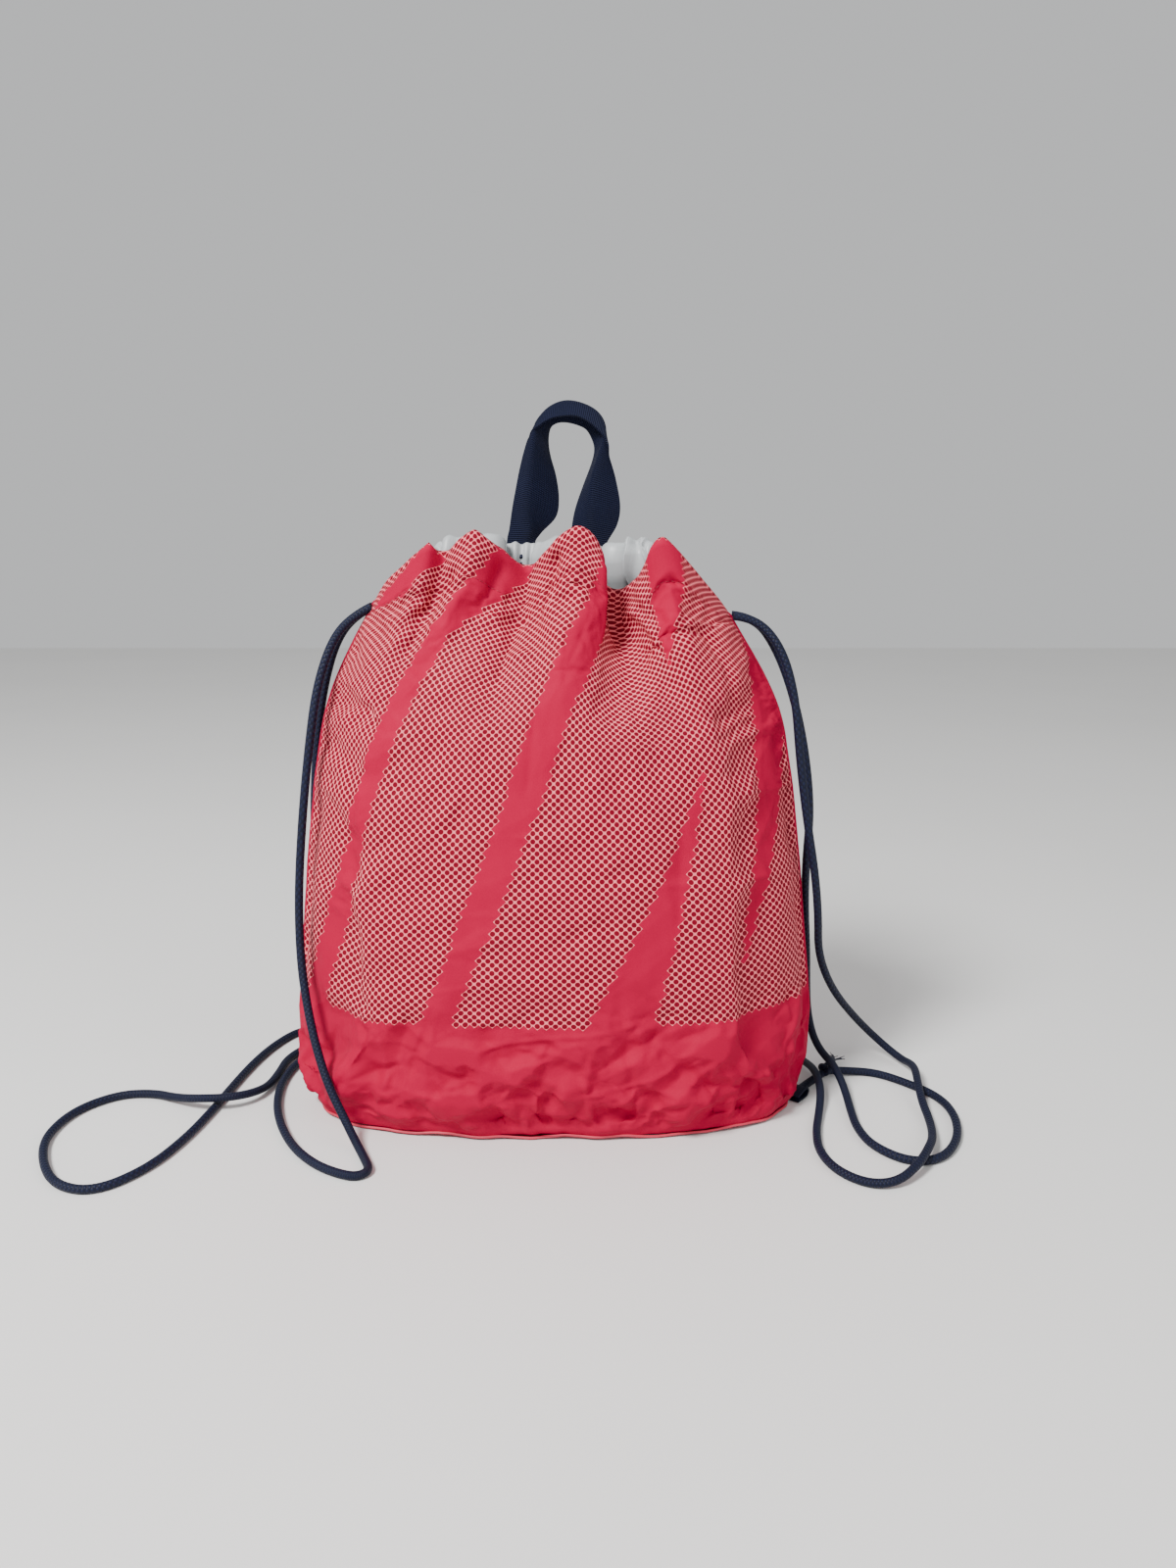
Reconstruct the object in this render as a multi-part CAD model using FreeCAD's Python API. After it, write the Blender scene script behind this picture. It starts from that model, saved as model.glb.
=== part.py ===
"""A stuffed drawstring backpack (gym sack), in millimetres.

Origin: centre of the base, on the surface that the bag stands on.
+Z is up, the printed front faces -Y, +X is to the right seen from the front.
"""
import FreeCAD, Part
import math
import os

V = FreeCAD.Vector

# ---- driving dimensions -------------------------------------------------
SHELL = 1.4            # outer fabric with its interlining
LINING = 0.6           # satin lining
GAP = 0.4              # clearance between bodies that move apart
SEAM_HALF = 4.0        # half the width of a flat-felled side seam
BASE_SEAM_Z = 6.0      # height of the seam between base and panels
PIPING = 1.3           # how far the piped base seam stands proud
PIPING_H = 2.4         # height of the piping
BASE_FLARE = 2.8       # how much wider the bag is at the piping than at its second section
FAR = 250.0            # further out than any part of the bag
HIGH = 450.0           # higher than any part of the bag
CORD = 5.0             # diameter of the braided cord
WEB_T = 2.6            # handle webbing, pressed double along its crease
HEM_T = 9.6            # front-to-back thickness of a gathered hem channel
HEM_WALL = 1.4         # fabric of the hem channel
HEM_BULGE = 25.0       # how far the mouth's middle stands out from y = 0
HEM_RISE = 21.5        # how much of that bulge is gone at the seam
HEM_HALF = 123.0       # half the mouth's length from seam to seam
HEM_LOW = ((112.0, 294.9), (0.0, 322.0))    # lower stitched edge: at the seam, in the middle
HEM_TOP = ((100.0, 318.0), (0.0, 349.0))    # folded top edge: at the seam, in the middle
TUNNEL_LOW = ((124.0, 289.6), (0.0, 324.0))
SLIT_X = 102.5         # where the channels open for the cords to leave
TUNNEL_TOP = ((109.0, 313.2), (0.0, 346.0))

# Outline of the stuffed bag: height, half width, half depth, squareness.
SECTIONS = [
    (0, 138, 52, 2.6), (3, 147, 59, 2.6), (12, 154.5, 64, 2.5), (30, 159, 66.5, 2.5),
    (60, 160, 67, 2.4), (105, 155, 65.5, 2.4), (155, 150, 62, 2.3), (205, 143.5, 56, 2.2),
    (250, 135.5, 48, 2.0), (290, 122.5, 38.5, 1.9), (328, 95, 25, 1.8),
]
SECTION_POINTS = 20
KNOT_R = 5.2           # half the height of a knot
KNOT_SHAPE = (1.1, 1.0, 0.96)      # its length, width and height, as shares of that height

os.makedirs("parts", exist_ok=True)


# ---- helpers --------------------------------------------------------------
def save(name, shape):
    """Write one node, and say how big it is."""
    if not shape.isValid():
        print("NOT VALID", name)
    shape.exportStep(f"parts/{name}.step")
    print(f"{name:24s} solids {len(shape.Solids)}  volume {shape.Volume / 1000:8.2f} cm3")
    return shape


def box(x0, x1, y0, y1, z0, z1):
    return Part.makeBox(x1 - x0, y1 - y0, z1 - z0, V(x0, y0, z0))


def oval(half_w, half_d, square, z, points=SECTION_POINTS):
    """One closed, smooth section of the bag at height z."""
    ring = []
    for i in range(points):
        t = 2 * math.pi * (i + 0.5) / points
        c, s = math.cos(t), math.sin(t)
        ring.append(V(half_w * math.copysign(abs(c) ** (2 / square), c),
                      half_d * math.copysign(abs(s) ** (2 / square), s), z))
    curve = Part.BSplineCurve()
    curve.interpolate(Points=ring, PeriodicFlag=True)
    return Part.Wire(curve.toShape())


def bag_solid(inset):
    """The bag's stuffed shape, drawn in by inset on every side."""
    wires = [oval(w - inset, d - inset, n, max(z, inset)) for z, w, d, n in SECTIONS]
    return Part.makeLoft(wires, True, False).common(
        box(-FAR, FAR, -FAR, FAR, max(0, inset), HIGH))


def arch_prism(low, top, y0, y1):
    """A band between two arches in the XZ plane, given depth along Y."""
    (xl, zl), (_, ml) = low
    (xt, zt), (_, mt) = top
    edges = [
        Part.Arc(V(-xl, y0, zl), V(0, y0, ml), V(xl, y0, zl)).toShape(),
        Part.makeLine(V(xl, y0, zl), V(xt, y0, zt)),
        Part.Arc(V(xt, y0, zt), V(0, y0, mt), V(-xt, y0, zt)).toShape(),
        Part.makeLine(V(-xt, y0, zt), V(-xl, y0, zl)),
    ]
    return Part.Face(Part.Wire(edges)).extrude(V(0, y1 - y0, 0))


def all_above(low):
    """Everything above the arch of the hem's lower edge, carried level past its ends."""
    (x, z), (_, mid_z) = low
    corners = [V(x, -FAR, z), V(FAR, -FAR, z), V(FAR, -FAR, HIGH), V(-FAR, -FAR, HIGH),
               V(-FAR, -FAR, z), V(-x, -FAR, z)]
    edges = [Part.Arc(V(-x, -FAR, z), V(0, -FAR, mid_z), V(x, -FAR, z)).toShape()]
    edges += [Part.makeLine(a, b) for a, b in zip(corners, corners[1:])]
    return Part.Face(Part.Wire(edges)).extrude(V(0, 2 * FAR, 0))


def lens_wall(outer, inner, side):
    """A curved wall, seen from above as a strip between two arcs; side is -1 in front."""
    reach = HEM_HALF + 6      # a little past the seam, so that the ends come out clean

    def arc(bulge):
        drop = bulge - HEM_RISE * (reach / HEM_HALF) ** 2
        return V(-reach, side * drop, 0), V(0, side * bulge, 0), V(reach, side * drop, 0)

    a, b = arc(outer), arc(inner)
    edges = [Part.Arc(*a).toShape(), Part.makeLine(a[2], b[2]),
             Part.Arc(*reversed(b)).toShape(), Part.makeLine(b[0], a[0])]
    return Part.Face(Part.Wire(edges)).extrude(V(0, 0, HIGH))


def tube(name, points, diameter=CORD):
    """A cord: straight runs joined by the largest tangent arcs that its runs allow."""
    pts = [V(*p) for p in points]
    edges, radii, at = [], [], pts[0]
    for before, corner, after in zip(pts, pts[1:], pts[2:]):
        back, on = before - corner, after - corner
        run = min(back.Length, on.Length)
        turn = math.pi - back.getAngle(on)
        cut = 0.45 * run
        radii.append(cut / math.tan(turn / 2))
        start = corner + back.normalize() * cut
        end = corner + on.normalize() * cut
        bisector = (back + on).normalize()
        # the arc's middle lies on the bisector, this far from the corner
        away = radii[-1] / math.cos(turn / 2) - radii[-1]
        edges.append(Part.LineSegment(at, start).toShape())
        edges.append(Part.Arc(start, corner + bisector * away, end).toShape())
        at = end
    edges.append(Part.LineSegment(at, pts[-1]).toShape())
    path = Part.Wire(edges)
    ring = Part.Circle(pts[0], (pts[1] - pts[0]).normalize(), diameter / 2).toShape()
    solid = path.makePipeShell([Part.Wire(ring)], True, False)
    expected = math.pi * diameter ** 2 / 4 * path.Length
    print(f"{name}: length {path.Length:.0f}, volume share {solid.Volume / expected:.3f},"
          f" radii {', '.join(f'{r:.0f}' for r in radii)}")
    return solid


# ---- fabric body ------------------------------------------------------------
outer = bag_solid(0)
middle = bag_solid(SHELL)
inner = bag_solid(SHELL + LINING)
above_hem_line = all_above(HEM_LOW)
shell = outer.cut(middle).cut(above_hem_line)
lining = middle.cut(inner).cut(above_hem_line)

FRONT = box(-FAR, FAR, -FAR, -SEAM_HALF, BASE_SEAM_Z, HIGH)
BACK = box(-FAR, FAR, SEAM_HALF, FAR, BASE_SEAM_Z, HIGH)
LEFT = box(-FAR, 0, -SEAM_HALF, SEAM_HALF, BASE_SEAM_Z, HIGH)
RIGHT = box(0, FAR, -SEAM_HALF, SEAM_HALF, BASE_SEAM_Z, HIGH)
BASE = box(-FAR, FAR, -FAR, FAR, 0, BASE_SEAM_Z)
FRONT_HALF = box(-FAR, FAR, -FAR, 0, BASE_SEAM_Z, HIGH)
BACK_HALF = box(-FAR, FAR, 0, FAR, BASE_SEAM_Z, HIGH)

save("front_panel", shell.common(FRONT))
save("back_panel", shell.common(BACK))
save("left_side_seam", shell.common(LEFT))
save("right_side_seam", shell.common(RIGHT))
save("base_panel", shell.common(BASE))
save("front_lining", lining.common(FRONT_HALF))
save("back_lining", lining.common(BACK_HALF))
save("base_lining", lining.common(BASE))

_, seam_w, seam_d, seam_n = SECTIONS[1]
seam_ring = oval(seam_w + PIPING + BASE_FLARE, seam_d + PIPING + BASE_FLARE, seam_n, BASE_SEAM_Z - 1)
piping_band = Part.Face(seam_ring).extrude(V(0, 0, PIPING_H))
save("base_seam_piping", piping_band.cut(outer))


# ---- hem channels -----------------------------------------------------------
def hem_channel(side):
    """Half of the mouth's hem: a flat fabric tunnel, open at both ends."""
    low = tuple((x, z + GAP) for x, z in HEM_LOW)
    clear_of_middle = side * GAP / 2
    outward = side * FAR
    body = arch_prism(low, HEM_TOP, *sorted((clear_of_middle, outward))).common(
        lens_wall(HEM_BULGE, HEM_BULGE - HEM_T, side))
    tunnel = arch_prism(TUNNEL_LOW, TUNNEL_TOP, *sorted((0.0, outward)))
    hollow = tunnel.common(lens_wall(HEM_BULGE - HEM_WALL, HEM_BULGE - HEM_T + HEM_WALL, side))
    # near its ends the tunnel opens towards the seam, where the cords come out
    slit = tunnel.common(lens_wall(HEM_BULGE - HEM_WALL, -HEM_BULGE, side))
    slit = slit.cut(box(-SLIT_X, SLIT_X, -FAR, FAR, 0, HIGH))
    return body.cut(hollow).cut(slit)


save("front_hem_channel", hem_channel(-1))
save("back_hem_channel", hem_channel(1))


# ---- cord inside the hem ------------------------------------------------------
RUN_END_X = 104.0
RUN_MIDDLE = HEM_BULGE - HEM_T / 2       # how far the tunnel's middle stands from y = 0
LEVELS = {"left": (341.0, 309.6), "right": (335.0, 303.6)}   # height in the middle, at the ends


def hem_run(name, side):
    """The stretch of one cord that lies in one hem channel."""
    mid_z, end_z = LEVELS[name]
    rise = mid_z - end_z
    radius = (RUN_END_X ** 2 + rise ** 2) / (2 * rise)
    points = []
    for i in range(-4, 5):
        x = RUN_END_X * i / 4
        out = RUN_MIDDLE - HEM_RISE * (x / HEM_HALF) ** 2
        points.append((x, side * out, mid_z - radius + math.sqrt(radius ** 2 - x ** 2)))
    return points


for cord_side in ("left", "right"):
    for place, side in (("front", -1), ("back", 1)):
        node = f"{cord_side}_cord_{place}_run"
        save(node, tube(node, hem_run(cord_side, side)))


# ---- free strands, knots and their tie loops ------------------------------------
FLOOR = CORD / 2 + 0.1        # centre of a cord that lies on the surface
OVER = FLOOR + 2 * CORD       # centre of a cord that passes over another

STRANDS = {
    "left_strand_front": [
        (-104.8, -4.9, 309.4), (-116, -3.4, 304), (-128, -7, 291), (-137, -14, 264),
        (-142.5, -18, 228), (-148, -20, 185), (-151.5, -24, 140), (-150.5, -31, 103),
        (-146, -39, 76), (-140, -47, 54), (-132, -55, 33), (-122, -61, 15),
        (-114, -70, 5), (-106, -85, FLOOR), (-101, -97, FLOOR), (-107, -104, FLOOR),
        (-119, -100, FLOOR), (-134, -90, FLOOR), (-150, -72, FLOOR), (-164, -46, FLOOR),
        (-174, -17, FLOOR), (-178, 13, FLOOR), (-175, 41, FLOOR), (-165, 60, FLOOR),
        (-148, 66, 5),
    ],
    "left_strand_back": [
        (-104.8, 4.9, 309.4), (-116, 3.4, 304), (-129, 9, 289), (-139, 16, 262),
        (-146, 20, 228), (-151, 24, 185), (-153, 30, 142), (-151, 42, 104),
        (-148, 58, 68), (-151, 76, 36), (-160, 90, 13), (-172, 97, FLOOR),
        (-187, 91, FLOOR), (-198, 66, FLOOR), (-204.5, 36, FLOOR), (-208, 5, FLOOR),
        (-211, -28, FLOOR), (-216, -62, FLOOR), (-226, -95, FLOOR), (-246, -119, FLOOR),
        (-270, -113, FLOOR), (-288, -89, FLOOR), (-300, -59, FLOOR), (-296, -27, FLOOR),
        (-277, -6, FLOOR), (-255, -4, FLOOR), (-238, -13, 5), (-221, -24, OVER),
        (-203, -23, OVER), (-190, -13, 9), (-184, 3, 4), (-183, 25, FLOOR),
        (-183, 45, FLOOR), (-176, 62, FLOOR), (-163, 73, FLOOR), (-148, 71, 5),
    ],
    "right_strand_front": [
        (105.8, -4.9, 303.9), (119, -3.6, 302.7), (134, -9, 286), (142.5, -12, 257),
        (146, -14, 220), (151.5, -14, 184), (158.5, -10, 150), (163, -3, 120),
        (166, 8, 92), (179, 25, 62), (199, 46, 34), (219, 57, 12),
        (232, 43, 5), (235.5, 23, OVER), (232, 3, OVER), (229, -19, 6), (228, -41, 3),
        (223.5, -63, 7), (216, -82, OVER), (205, -99, OVER - 2), (190, -112, 4),
        (174, -111, FLOOR), (160, -97, FLOOR), (154, -76, FLOOR), (157, -52, FLOOR),
        (163, -30, FLOOR), (167.5, -12, 8), (168.5, 3, OVER), (167.5, 17, OVER),
        (166, 31, 8), (164.5, 46, 3), (157, 59, FLOOR), (145, 64, FLOOR), (134, 58, FLOOR),
    ],
    "right_strand_back": [
        (105.8, 4.9, 303.9), (119, 3.6, 302.7), (133, 8, 285), (144, 6, 257),
        (152, 4, 224), (157, 4, 186), (156, 8, 150), (158, 15, 118),
        (162, 25, 88), (164.5, 34, 64), (166, 37, 46), (168, 35, 33), (171, 32, 23),
        (175.5, 26, 16.4), (180, 15, 15.6), (183, 3, 11), (184, -10, 4.5),
        (183, -28, FLOOR), (182, -50, FLOOR), (187, -71, FLOOR), (203, -88, FLOOR),
        (223, -85, FLOOR), (239, -62, FLOOR), (246, -33, FLOOR), (243, -9, FLOOR),
        (229, 9, FLOOR), (213, 24, FLOOR), (198, 28, FLOOR), (182, 24.2, 4.6),
    ],
}
for node, route in STRANDS.items():
    save(node, tube(node, route))

KNOTS = {"left": V(-143, 66, KNOT_R), "right": V(178, 23, KNOT_R)}
TIES = {
    "left": [(-139.5, 62, 5), (-137, 54, 3.6), (-139, 45, 3.4), (-143.5, 37.5, 3.8)],
    "right": [(174.5, 20, 4.6), (168.5, 15, 3.2), (162, 8, 2.8), (156.5, 0.5, 3.2)],
}
# The webbing tab in each bottom corner of the bag: its middle, and the way it points.
TABS = {"left": (V(-144, 34, 0), 118.0), "right": (V(152.5, -3.5, 0), 52.0)}
TAB_LENGTH, TAB_WIDTH, TAB_THICK = 15.0, 13.0, 7.0
TAB_SOFT = 2.0         # radius of the tab's folded ends
LIFT = 0.3             # how far a tab hangs clear of the surface
TAIL = 3.6             # diameter of a cord's frayed end


def knot(middle):
    """An overhand knot pulled tight, as the rounded lump that it makes."""
    long, wide, high = (2 * KNOT_R * share for share in KNOT_SHAPE)
    lump = Part.makeBox(long, wide, high, V(-long / 2, -wide / 2, -high / 2))
    lump = lump.makeFillet(KNOT_R * 0.5, lump.Edges)
    lump.translate(middle)
    return lump


def corner_tab(middle, angle):
    """Folded webbing with soft edges, caught in the base seam."""
    pad = Part.makeBox(TAB_LENGTH, TAB_WIDTH, TAB_THICK,
                       V(-TAB_LENGTH / 2, -TAB_WIDTH / 2, LIFT))
    pad = pad.makeFillet(TAB_SOFT, [e for e in pad.Edges if abs(e.tangentAt(0).y) > 0.9])
    pad.rotate(V(0, 0, 0), V(0, 0, 1), angle)
    pad.translate(middle)
    return pad.cut(outer).cut(piping_band)


for side_name, middle_point in KNOTS.items():
    save(f"{side_name}_knot", knot(middle_point))
    tie = tube(f"{side_name}_tie", TIES[side_name], CORD)
    save(f"{side_name}_tie_loop", tie)
    tail = [middle_point + V(1, 5, 0), middle_point + V(5, 11.5, 0.6),
            middle_point + V(9.5, 17, -1.5)]
    save(f"{side_name}_cord_tail", tube(f"{side_name}_tail", [tuple(p) for p in tail], TAIL))
    tab_middle, tab_angle = TABS[side_name]
    save(f"{side_name}_corner_tab", corner_tab(tab_middle, tab_angle))

# ---- carrying handle --------------------------------------------------------------
HANDLE_Y = HEM_BULGE + 6.2       # the plane that both legs stand in
HINGE_Z = 344.0
HINGE_GAP = 2.4                  # room above the sewn end for the strap to turn
LEGS = {"left": (-20.0, 15.0), "right": (18.5, 21.0)}    # middle and width of each leg's root
ANCHOR_H = 16.2                  # length of webbing sewn behind the hem
ANCHOR_DEPTH = 10.0              # how far the sewn end reaches in, through the hem's gathers
TACK_W, TACK_H, TACK_T = 12.0, 1.6, 0.9      # one bar of tacking stitches
TACKS_DOWN = (6.0, 16.0)         # how far below the hinge line the tacks are
# Webbing sections up the left leg, over the top and down the right one:
# middle (x, z), width, and how far the width has turned from X towards Y.
HANDLE = [
    (-20.0, HINGE_Z + GAP, 15, 0), (-17.0, 357, 19, 4), (-12.5, 371, 23, 8),
    (-10.5, 385, 22, 20), (-10.5, 399, 20, 48), (-8.0, 412, 20, 74), (-1.0, 422, 20, 88),
    (9.0, 426, 20, 90), (19.0, 422, 20, 92), (26.0, 412, 20, 106), (26.0, 399, 20, 130),
    (25.5, 385, 22, 158), (24.5, 369, 25, 172), (21.0, 356, 23, 176),
    (18.5, HINGE_Z + GAP, 21, 180),
]


def webbing_section(i):
    """One rectangle of the handle's webbing, square to the way it runs."""
    x, z, width, turned = HANDLE[i]
    before, after = HANDLE[max(i - 1, 0)], HANDLE[min(i + 1, len(HANDLE) - 1)]
    along = V(after[0] - before[0], 0, after[1] - before[1]).normalize()
    if i in (0, len(HANDLE) - 1):
        along = V(0, 0, 1 if i == 0 else -1)
    depth = V(0, 1, 0)
    across = along.cross(depth)
    a = math.radians(turned)
    wide = (across * math.cos(a) + depth * math.sin(a)).normalize()
    thick = wide.cross(along)
    middle_point = V(x, HANDLE_Y, z)
    corners = [middle_point + wide * (u * width / 2) + thick * (t * WEB_T / 2)
               for u, t in ((-1, -1), (1, -1), (1, 1), (-1, 1))]
    return Part.makePolygon(corners + corners[:1])


handle = Part.makeLoft([webbing_section(i) for i in range(len(HANDLE))], True, True)
save("handle_webbing", handle)

for side_name, (leg_x, width) in LEGS.items():
    top = HINGE_Z - HINGE_GAP
    anchor = box(leg_x - width / 2, leg_x + width / 2, HANDLE_Y - ANCHOR_DEPTH, HANDLE_Y,
                 top - ANCHOR_H, top)
    anchor = anchor.cut(lens_wall(HEM_BULGE, -HEM_BULGE, 1))
    save(f"handle_{side_name}_anchor", anchor)
    rows = [box(leg_x - TACK_W / 2, leg_x + TACK_W / 2, HANDLE_Y, HANDLE_Y + TACK_T,
                HINGE_Z - down, HINGE_Z - down + TACK_H) for down in TACKS_DOWN]
    save(f"handle_{side_name}_bartack", Part.makeCompound(rows))
print("handle top", round(handle.BoundBox.ZMax, 1))
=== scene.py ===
# %% [markdown]
# # A stuffed drawstring backpack
#
# This lesson builds a soft gym bag around a finished engineering model. That model, the frame, holds the
# sizes, the joints and the solids that a physics engine needs. Here each plain solid gets a finished piece
# in its place: real cords, creased cloth, ribbed webbing and a printed net. Everything is in metres, with
# +Z up, the printed front facing -Y and the origin under the middle of the base.

# %% The frame
import bpy
import math
import numpy as np
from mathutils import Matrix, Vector
from mathutils.bvhtree import BVHTree


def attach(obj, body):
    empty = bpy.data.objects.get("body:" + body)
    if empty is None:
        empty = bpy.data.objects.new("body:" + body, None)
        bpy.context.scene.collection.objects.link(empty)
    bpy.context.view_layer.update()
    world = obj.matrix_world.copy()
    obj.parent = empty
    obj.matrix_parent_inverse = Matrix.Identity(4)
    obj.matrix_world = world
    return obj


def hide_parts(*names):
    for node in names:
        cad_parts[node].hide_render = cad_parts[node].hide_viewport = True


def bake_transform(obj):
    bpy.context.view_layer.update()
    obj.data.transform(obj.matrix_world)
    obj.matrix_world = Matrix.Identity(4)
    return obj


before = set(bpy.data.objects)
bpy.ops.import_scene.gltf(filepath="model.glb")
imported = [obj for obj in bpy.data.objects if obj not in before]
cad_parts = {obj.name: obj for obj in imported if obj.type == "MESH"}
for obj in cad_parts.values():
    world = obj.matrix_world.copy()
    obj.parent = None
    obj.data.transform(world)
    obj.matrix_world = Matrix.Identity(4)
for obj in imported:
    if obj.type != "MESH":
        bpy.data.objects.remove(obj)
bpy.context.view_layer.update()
MM = 0.001

# %% [markdown]
# ## The camera
#
# The bag is seen from just in front, a little above its mouth, and the view looks down by 12 degrees. The
# camera comes first because the cords are laid to be seen from it, and a route that looks right from here
# is easier to judge early than late.

# %% A camera just above the mouth
camera_data = bpy.data.cameras.new("camera")
camera_data.lens = 27.07
camera_data.sensor_width = 36.0
camera = bpy.data.objects.new("camera", camera_data)
camera.location = (0.021, -0.697, 0.351)
camera.rotation_euler = (math.radians(90 - 12), 0, 0)
bpy.context.collection.objects.link(camera)
bpy.context.scene.camera = camera
print("camera", tuple(camera.location))

# %% [markdown]
# ## The cords
#
# Two braided cords, 5 mm thick, run through the mouth's hem and down to the bottom corners. Braid this thin
# is limp, so what isn't held lies on the table in loose loops and low humps. A NURBS spline is the right
# curve for it: it is smooth all the way, and it needs only the few points that a hand would pin down.
# The points are in millimetres, as they were laid out on the model, and MM makes them metres.

# %% The four free strands
CORD = 5.0
FLOOR = CORD / 2 + 0.1
OVER = FLOOR + 6.4

STRANDS = {
    "left_strand_front": [
        (-104.8, -4.9, 309.4), (-116, -3.4, 304), (-128, -7, 291), (-137, -14, 264),
        (-142.5, -18, 228), (-148, -20, 185), (-151.5, -24, 140), (-150.5, -31, 103),
        (-146, -39, 76), (-140, -47, 54), (-132, -55, 33), (-122, -61, 15),
        (-114, -70, 5), (-106, -85, FLOOR), (-101, -97, FLOOR), (-107, -104, FLOOR),
        (-119, -100, FLOOR), (-134, -90, FLOOR), (-150, -72, FLOOR), (-164, -46, FLOOR),
        (-174, -17, FLOOR), (-178, 13, FLOOR), (-175, 41, FLOOR), (-165, 60, FLOOR),
        (-148, 66, 5),
    ],
    "left_strand_back": [
        (-104.8, 4.9, 309.4), (-116, 3.4, 304), (-129, 9, 289), (-139, 16, 262),
        (-146, 20, 228), (-151, 24, 185), (-153, 30, 142), (-151, 42, 104),
        (-148, 58, 68), (-151, 76, 36), (-160, 90, 13), (-172, 97, FLOOR),
        (-187, 91, FLOOR), (-198, 66, FLOOR), (-204.5, 36, FLOOR), (-208, 5, FLOOR),
        (-211, -28, FLOOR), (-216, -62, FLOOR), (-226, -95, FLOOR), (-246, -119, FLOOR),
        (-270, -113, FLOOR), (-288, -89, FLOOR), (-300, -59, FLOOR), (-296, -27, FLOOR),
        (-277, -6, FLOOR), (-255, -4, FLOOR), (-238, -13, 4), (-221, -24, OVER),
        (-203, -23, OVER), (-190, -13, 7), (-184, 3, 4), (-183, 25, FLOOR),
        (-183, 45, FLOOR), (-176, 62, FLOOR), (-163, 73, FLOOR), (-148, 71, 5),
    ],
    "right_strand_front": [
        (105.8, -4.9, 303.9), (119, -3.6, 302.7), (134, -9, 286), (142.5, -12, 257),
        (146, -14, 220), (151.5, -14, 184), (158.5, -10, 150), (163, -3, 120),
        (166, 8, 92), (179, 25, 62), (199, 46, 34), (219, 57, 12),
        (232, 43, 4), (235.5, 23, OVER), (232, 3, OVER), (229, -19, 5), (228, -41, 3),
        (223.5, -63, 5), (216, -82, OVER), (205, -99, OVER - 2), (190, -112, 4),
        (174, -111, FLOOR), (160, -97, FLOOR), (154, -76, FLOOR), (157, -52, FLOOR),
        (163, -30, FLOOR), (167.5, -12, 7), (168.5, 3, OVER + 1), (167.5, 17, OVER + 1),
        (166, 31, 7), (164.5, 46, 3), (157, 59, FLOOR), (145, 64, FLOOR), (134, 58, FLOOR),
    ],
    "right_strand_back": [
        (105.8, 4.9, 303.9), (119, 3.6, 302.7), (133, 8, 285), (144, 6, 257),
        (152, 4, 224), (157, 4, 186), (156, 8, 150), (158, 15, 118),
        (162, 25, 88), (164.5, 34, 64), (166, 37, 46), (168, 35, 33), (171, 32, 23),
        (175.5, 26, 16), (180, 15, 14), (183, 3, 9), (184, -10, 4.5),
        (183, -28, FLOOR), (182, -50, FLOOR), (187, -71, FLOOR), (203, -88, FLOOR),
        (223, -85, FLOOR), (239, -62, FLOOR), (246, -33, FLOOR), (243, -9, FLOOR),
        (229, 9, FLOOR), (213, 24, FLOOR), (198, 28, FLOOR), (182, 24.2, 4.6),
    ],
}

print(len(STRANDS), "strands,", sum(len(points) for points in STRANDS.values()), "points laid by hand")

# %% [markdown]
# ### From points to a round cord
#
# A curve object becomes a cord when it has a bevel depth, which is half its thickness. The order of a NURBS
# spline says how many points pull on each stretch; three keeps it close to the given points. It and the
# endpoint setting come after the points, because Blender resets them when points are added.

# %% A cord along listed points
def cord_curve(name, points, diameter=CORD, sides=5):
    """A smooth round cord along the given points, in millimetres."""
    curve = bpy.data.curves.new(name, "CURVE")
    curve.dimensions = "3D"
    curve.resolution_u = 10
    curve.bevel_depth = diameter / 2 * MM
    curve.bevel_resolution = sides
    curve.use_fill_caps = True
    spline = curve.splines.new("NURBS")
    spline.points.add(len(points) - 1)
    for point, place in zip(spline.points, points):
        point.co = (*(c * MM for c in place), 1.0)
    spline.order_u = 3
    spline.use_endpoint_u = True
    cord = bpy.data.objects.new(name, curve)
    bpy.context.collection.objects.link(cord)
    return cord


print("a cord is", CORD, "mm thick, and lies with its middle", FLOOR, "mm above the floor")

# %% [markdown]
# ### Measuring and converting
#
# A cord has a real length, so the lesson measures what it lays. A copy with no bevel gives the bare line,
# and the distances between its points add up to the length. Two more helpers do what a click and
# Object > Convert do in the window.

# %% The line of a cord, its length, and a few habits with bpy.ops
def line_of(cord):
    """The points of a cord's own smooth line, in metres."""
    bare = cord.data.copy()
    bare.bevel_depth = 0
    holder = bpy.data.objects.new("measuring", bare)
    mesh = bpy.data.meshes.new_from_object(holder)
    line = np.array([v.co for v in mesh.vertices])
    bpy.data.objects.remove(holder)
    bpy.data.meshes.remove(mesh)
    bpy.data.curves.remove(bare)
    return line


def length_of(line):
    return float(np.linalg.norm(np.diff(line, axis=0), axis=1).sum())


def deselect_all():
    for o in bpy.context.selected_objects:
        o.select_set(False)


def select_only(*objects):
    """Selects these objects and nothing else; the first becomes the active one."""
    deselect_all()
    for o in objects:
        o.select_set(True)
    bpy.context.view_layer.objects.active = objects[0]


def as_mesh(obj):
    """Turns a curve object into a mesh object, as Object > Convert does."""
    select_only(obj)
    bpy.ops.object.convert(target="MESH")
    return bpy.context.active_object


strands = {name: cord_curve(f"{name}_braid", points) for name, points in STRANDS.items()}
strand_length = {name: length_of(line_of(cord)) for name, cord in strands.items()}
for name, length in strand_length.items():
    print(f"{name}: {length:.3f} m")

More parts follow.
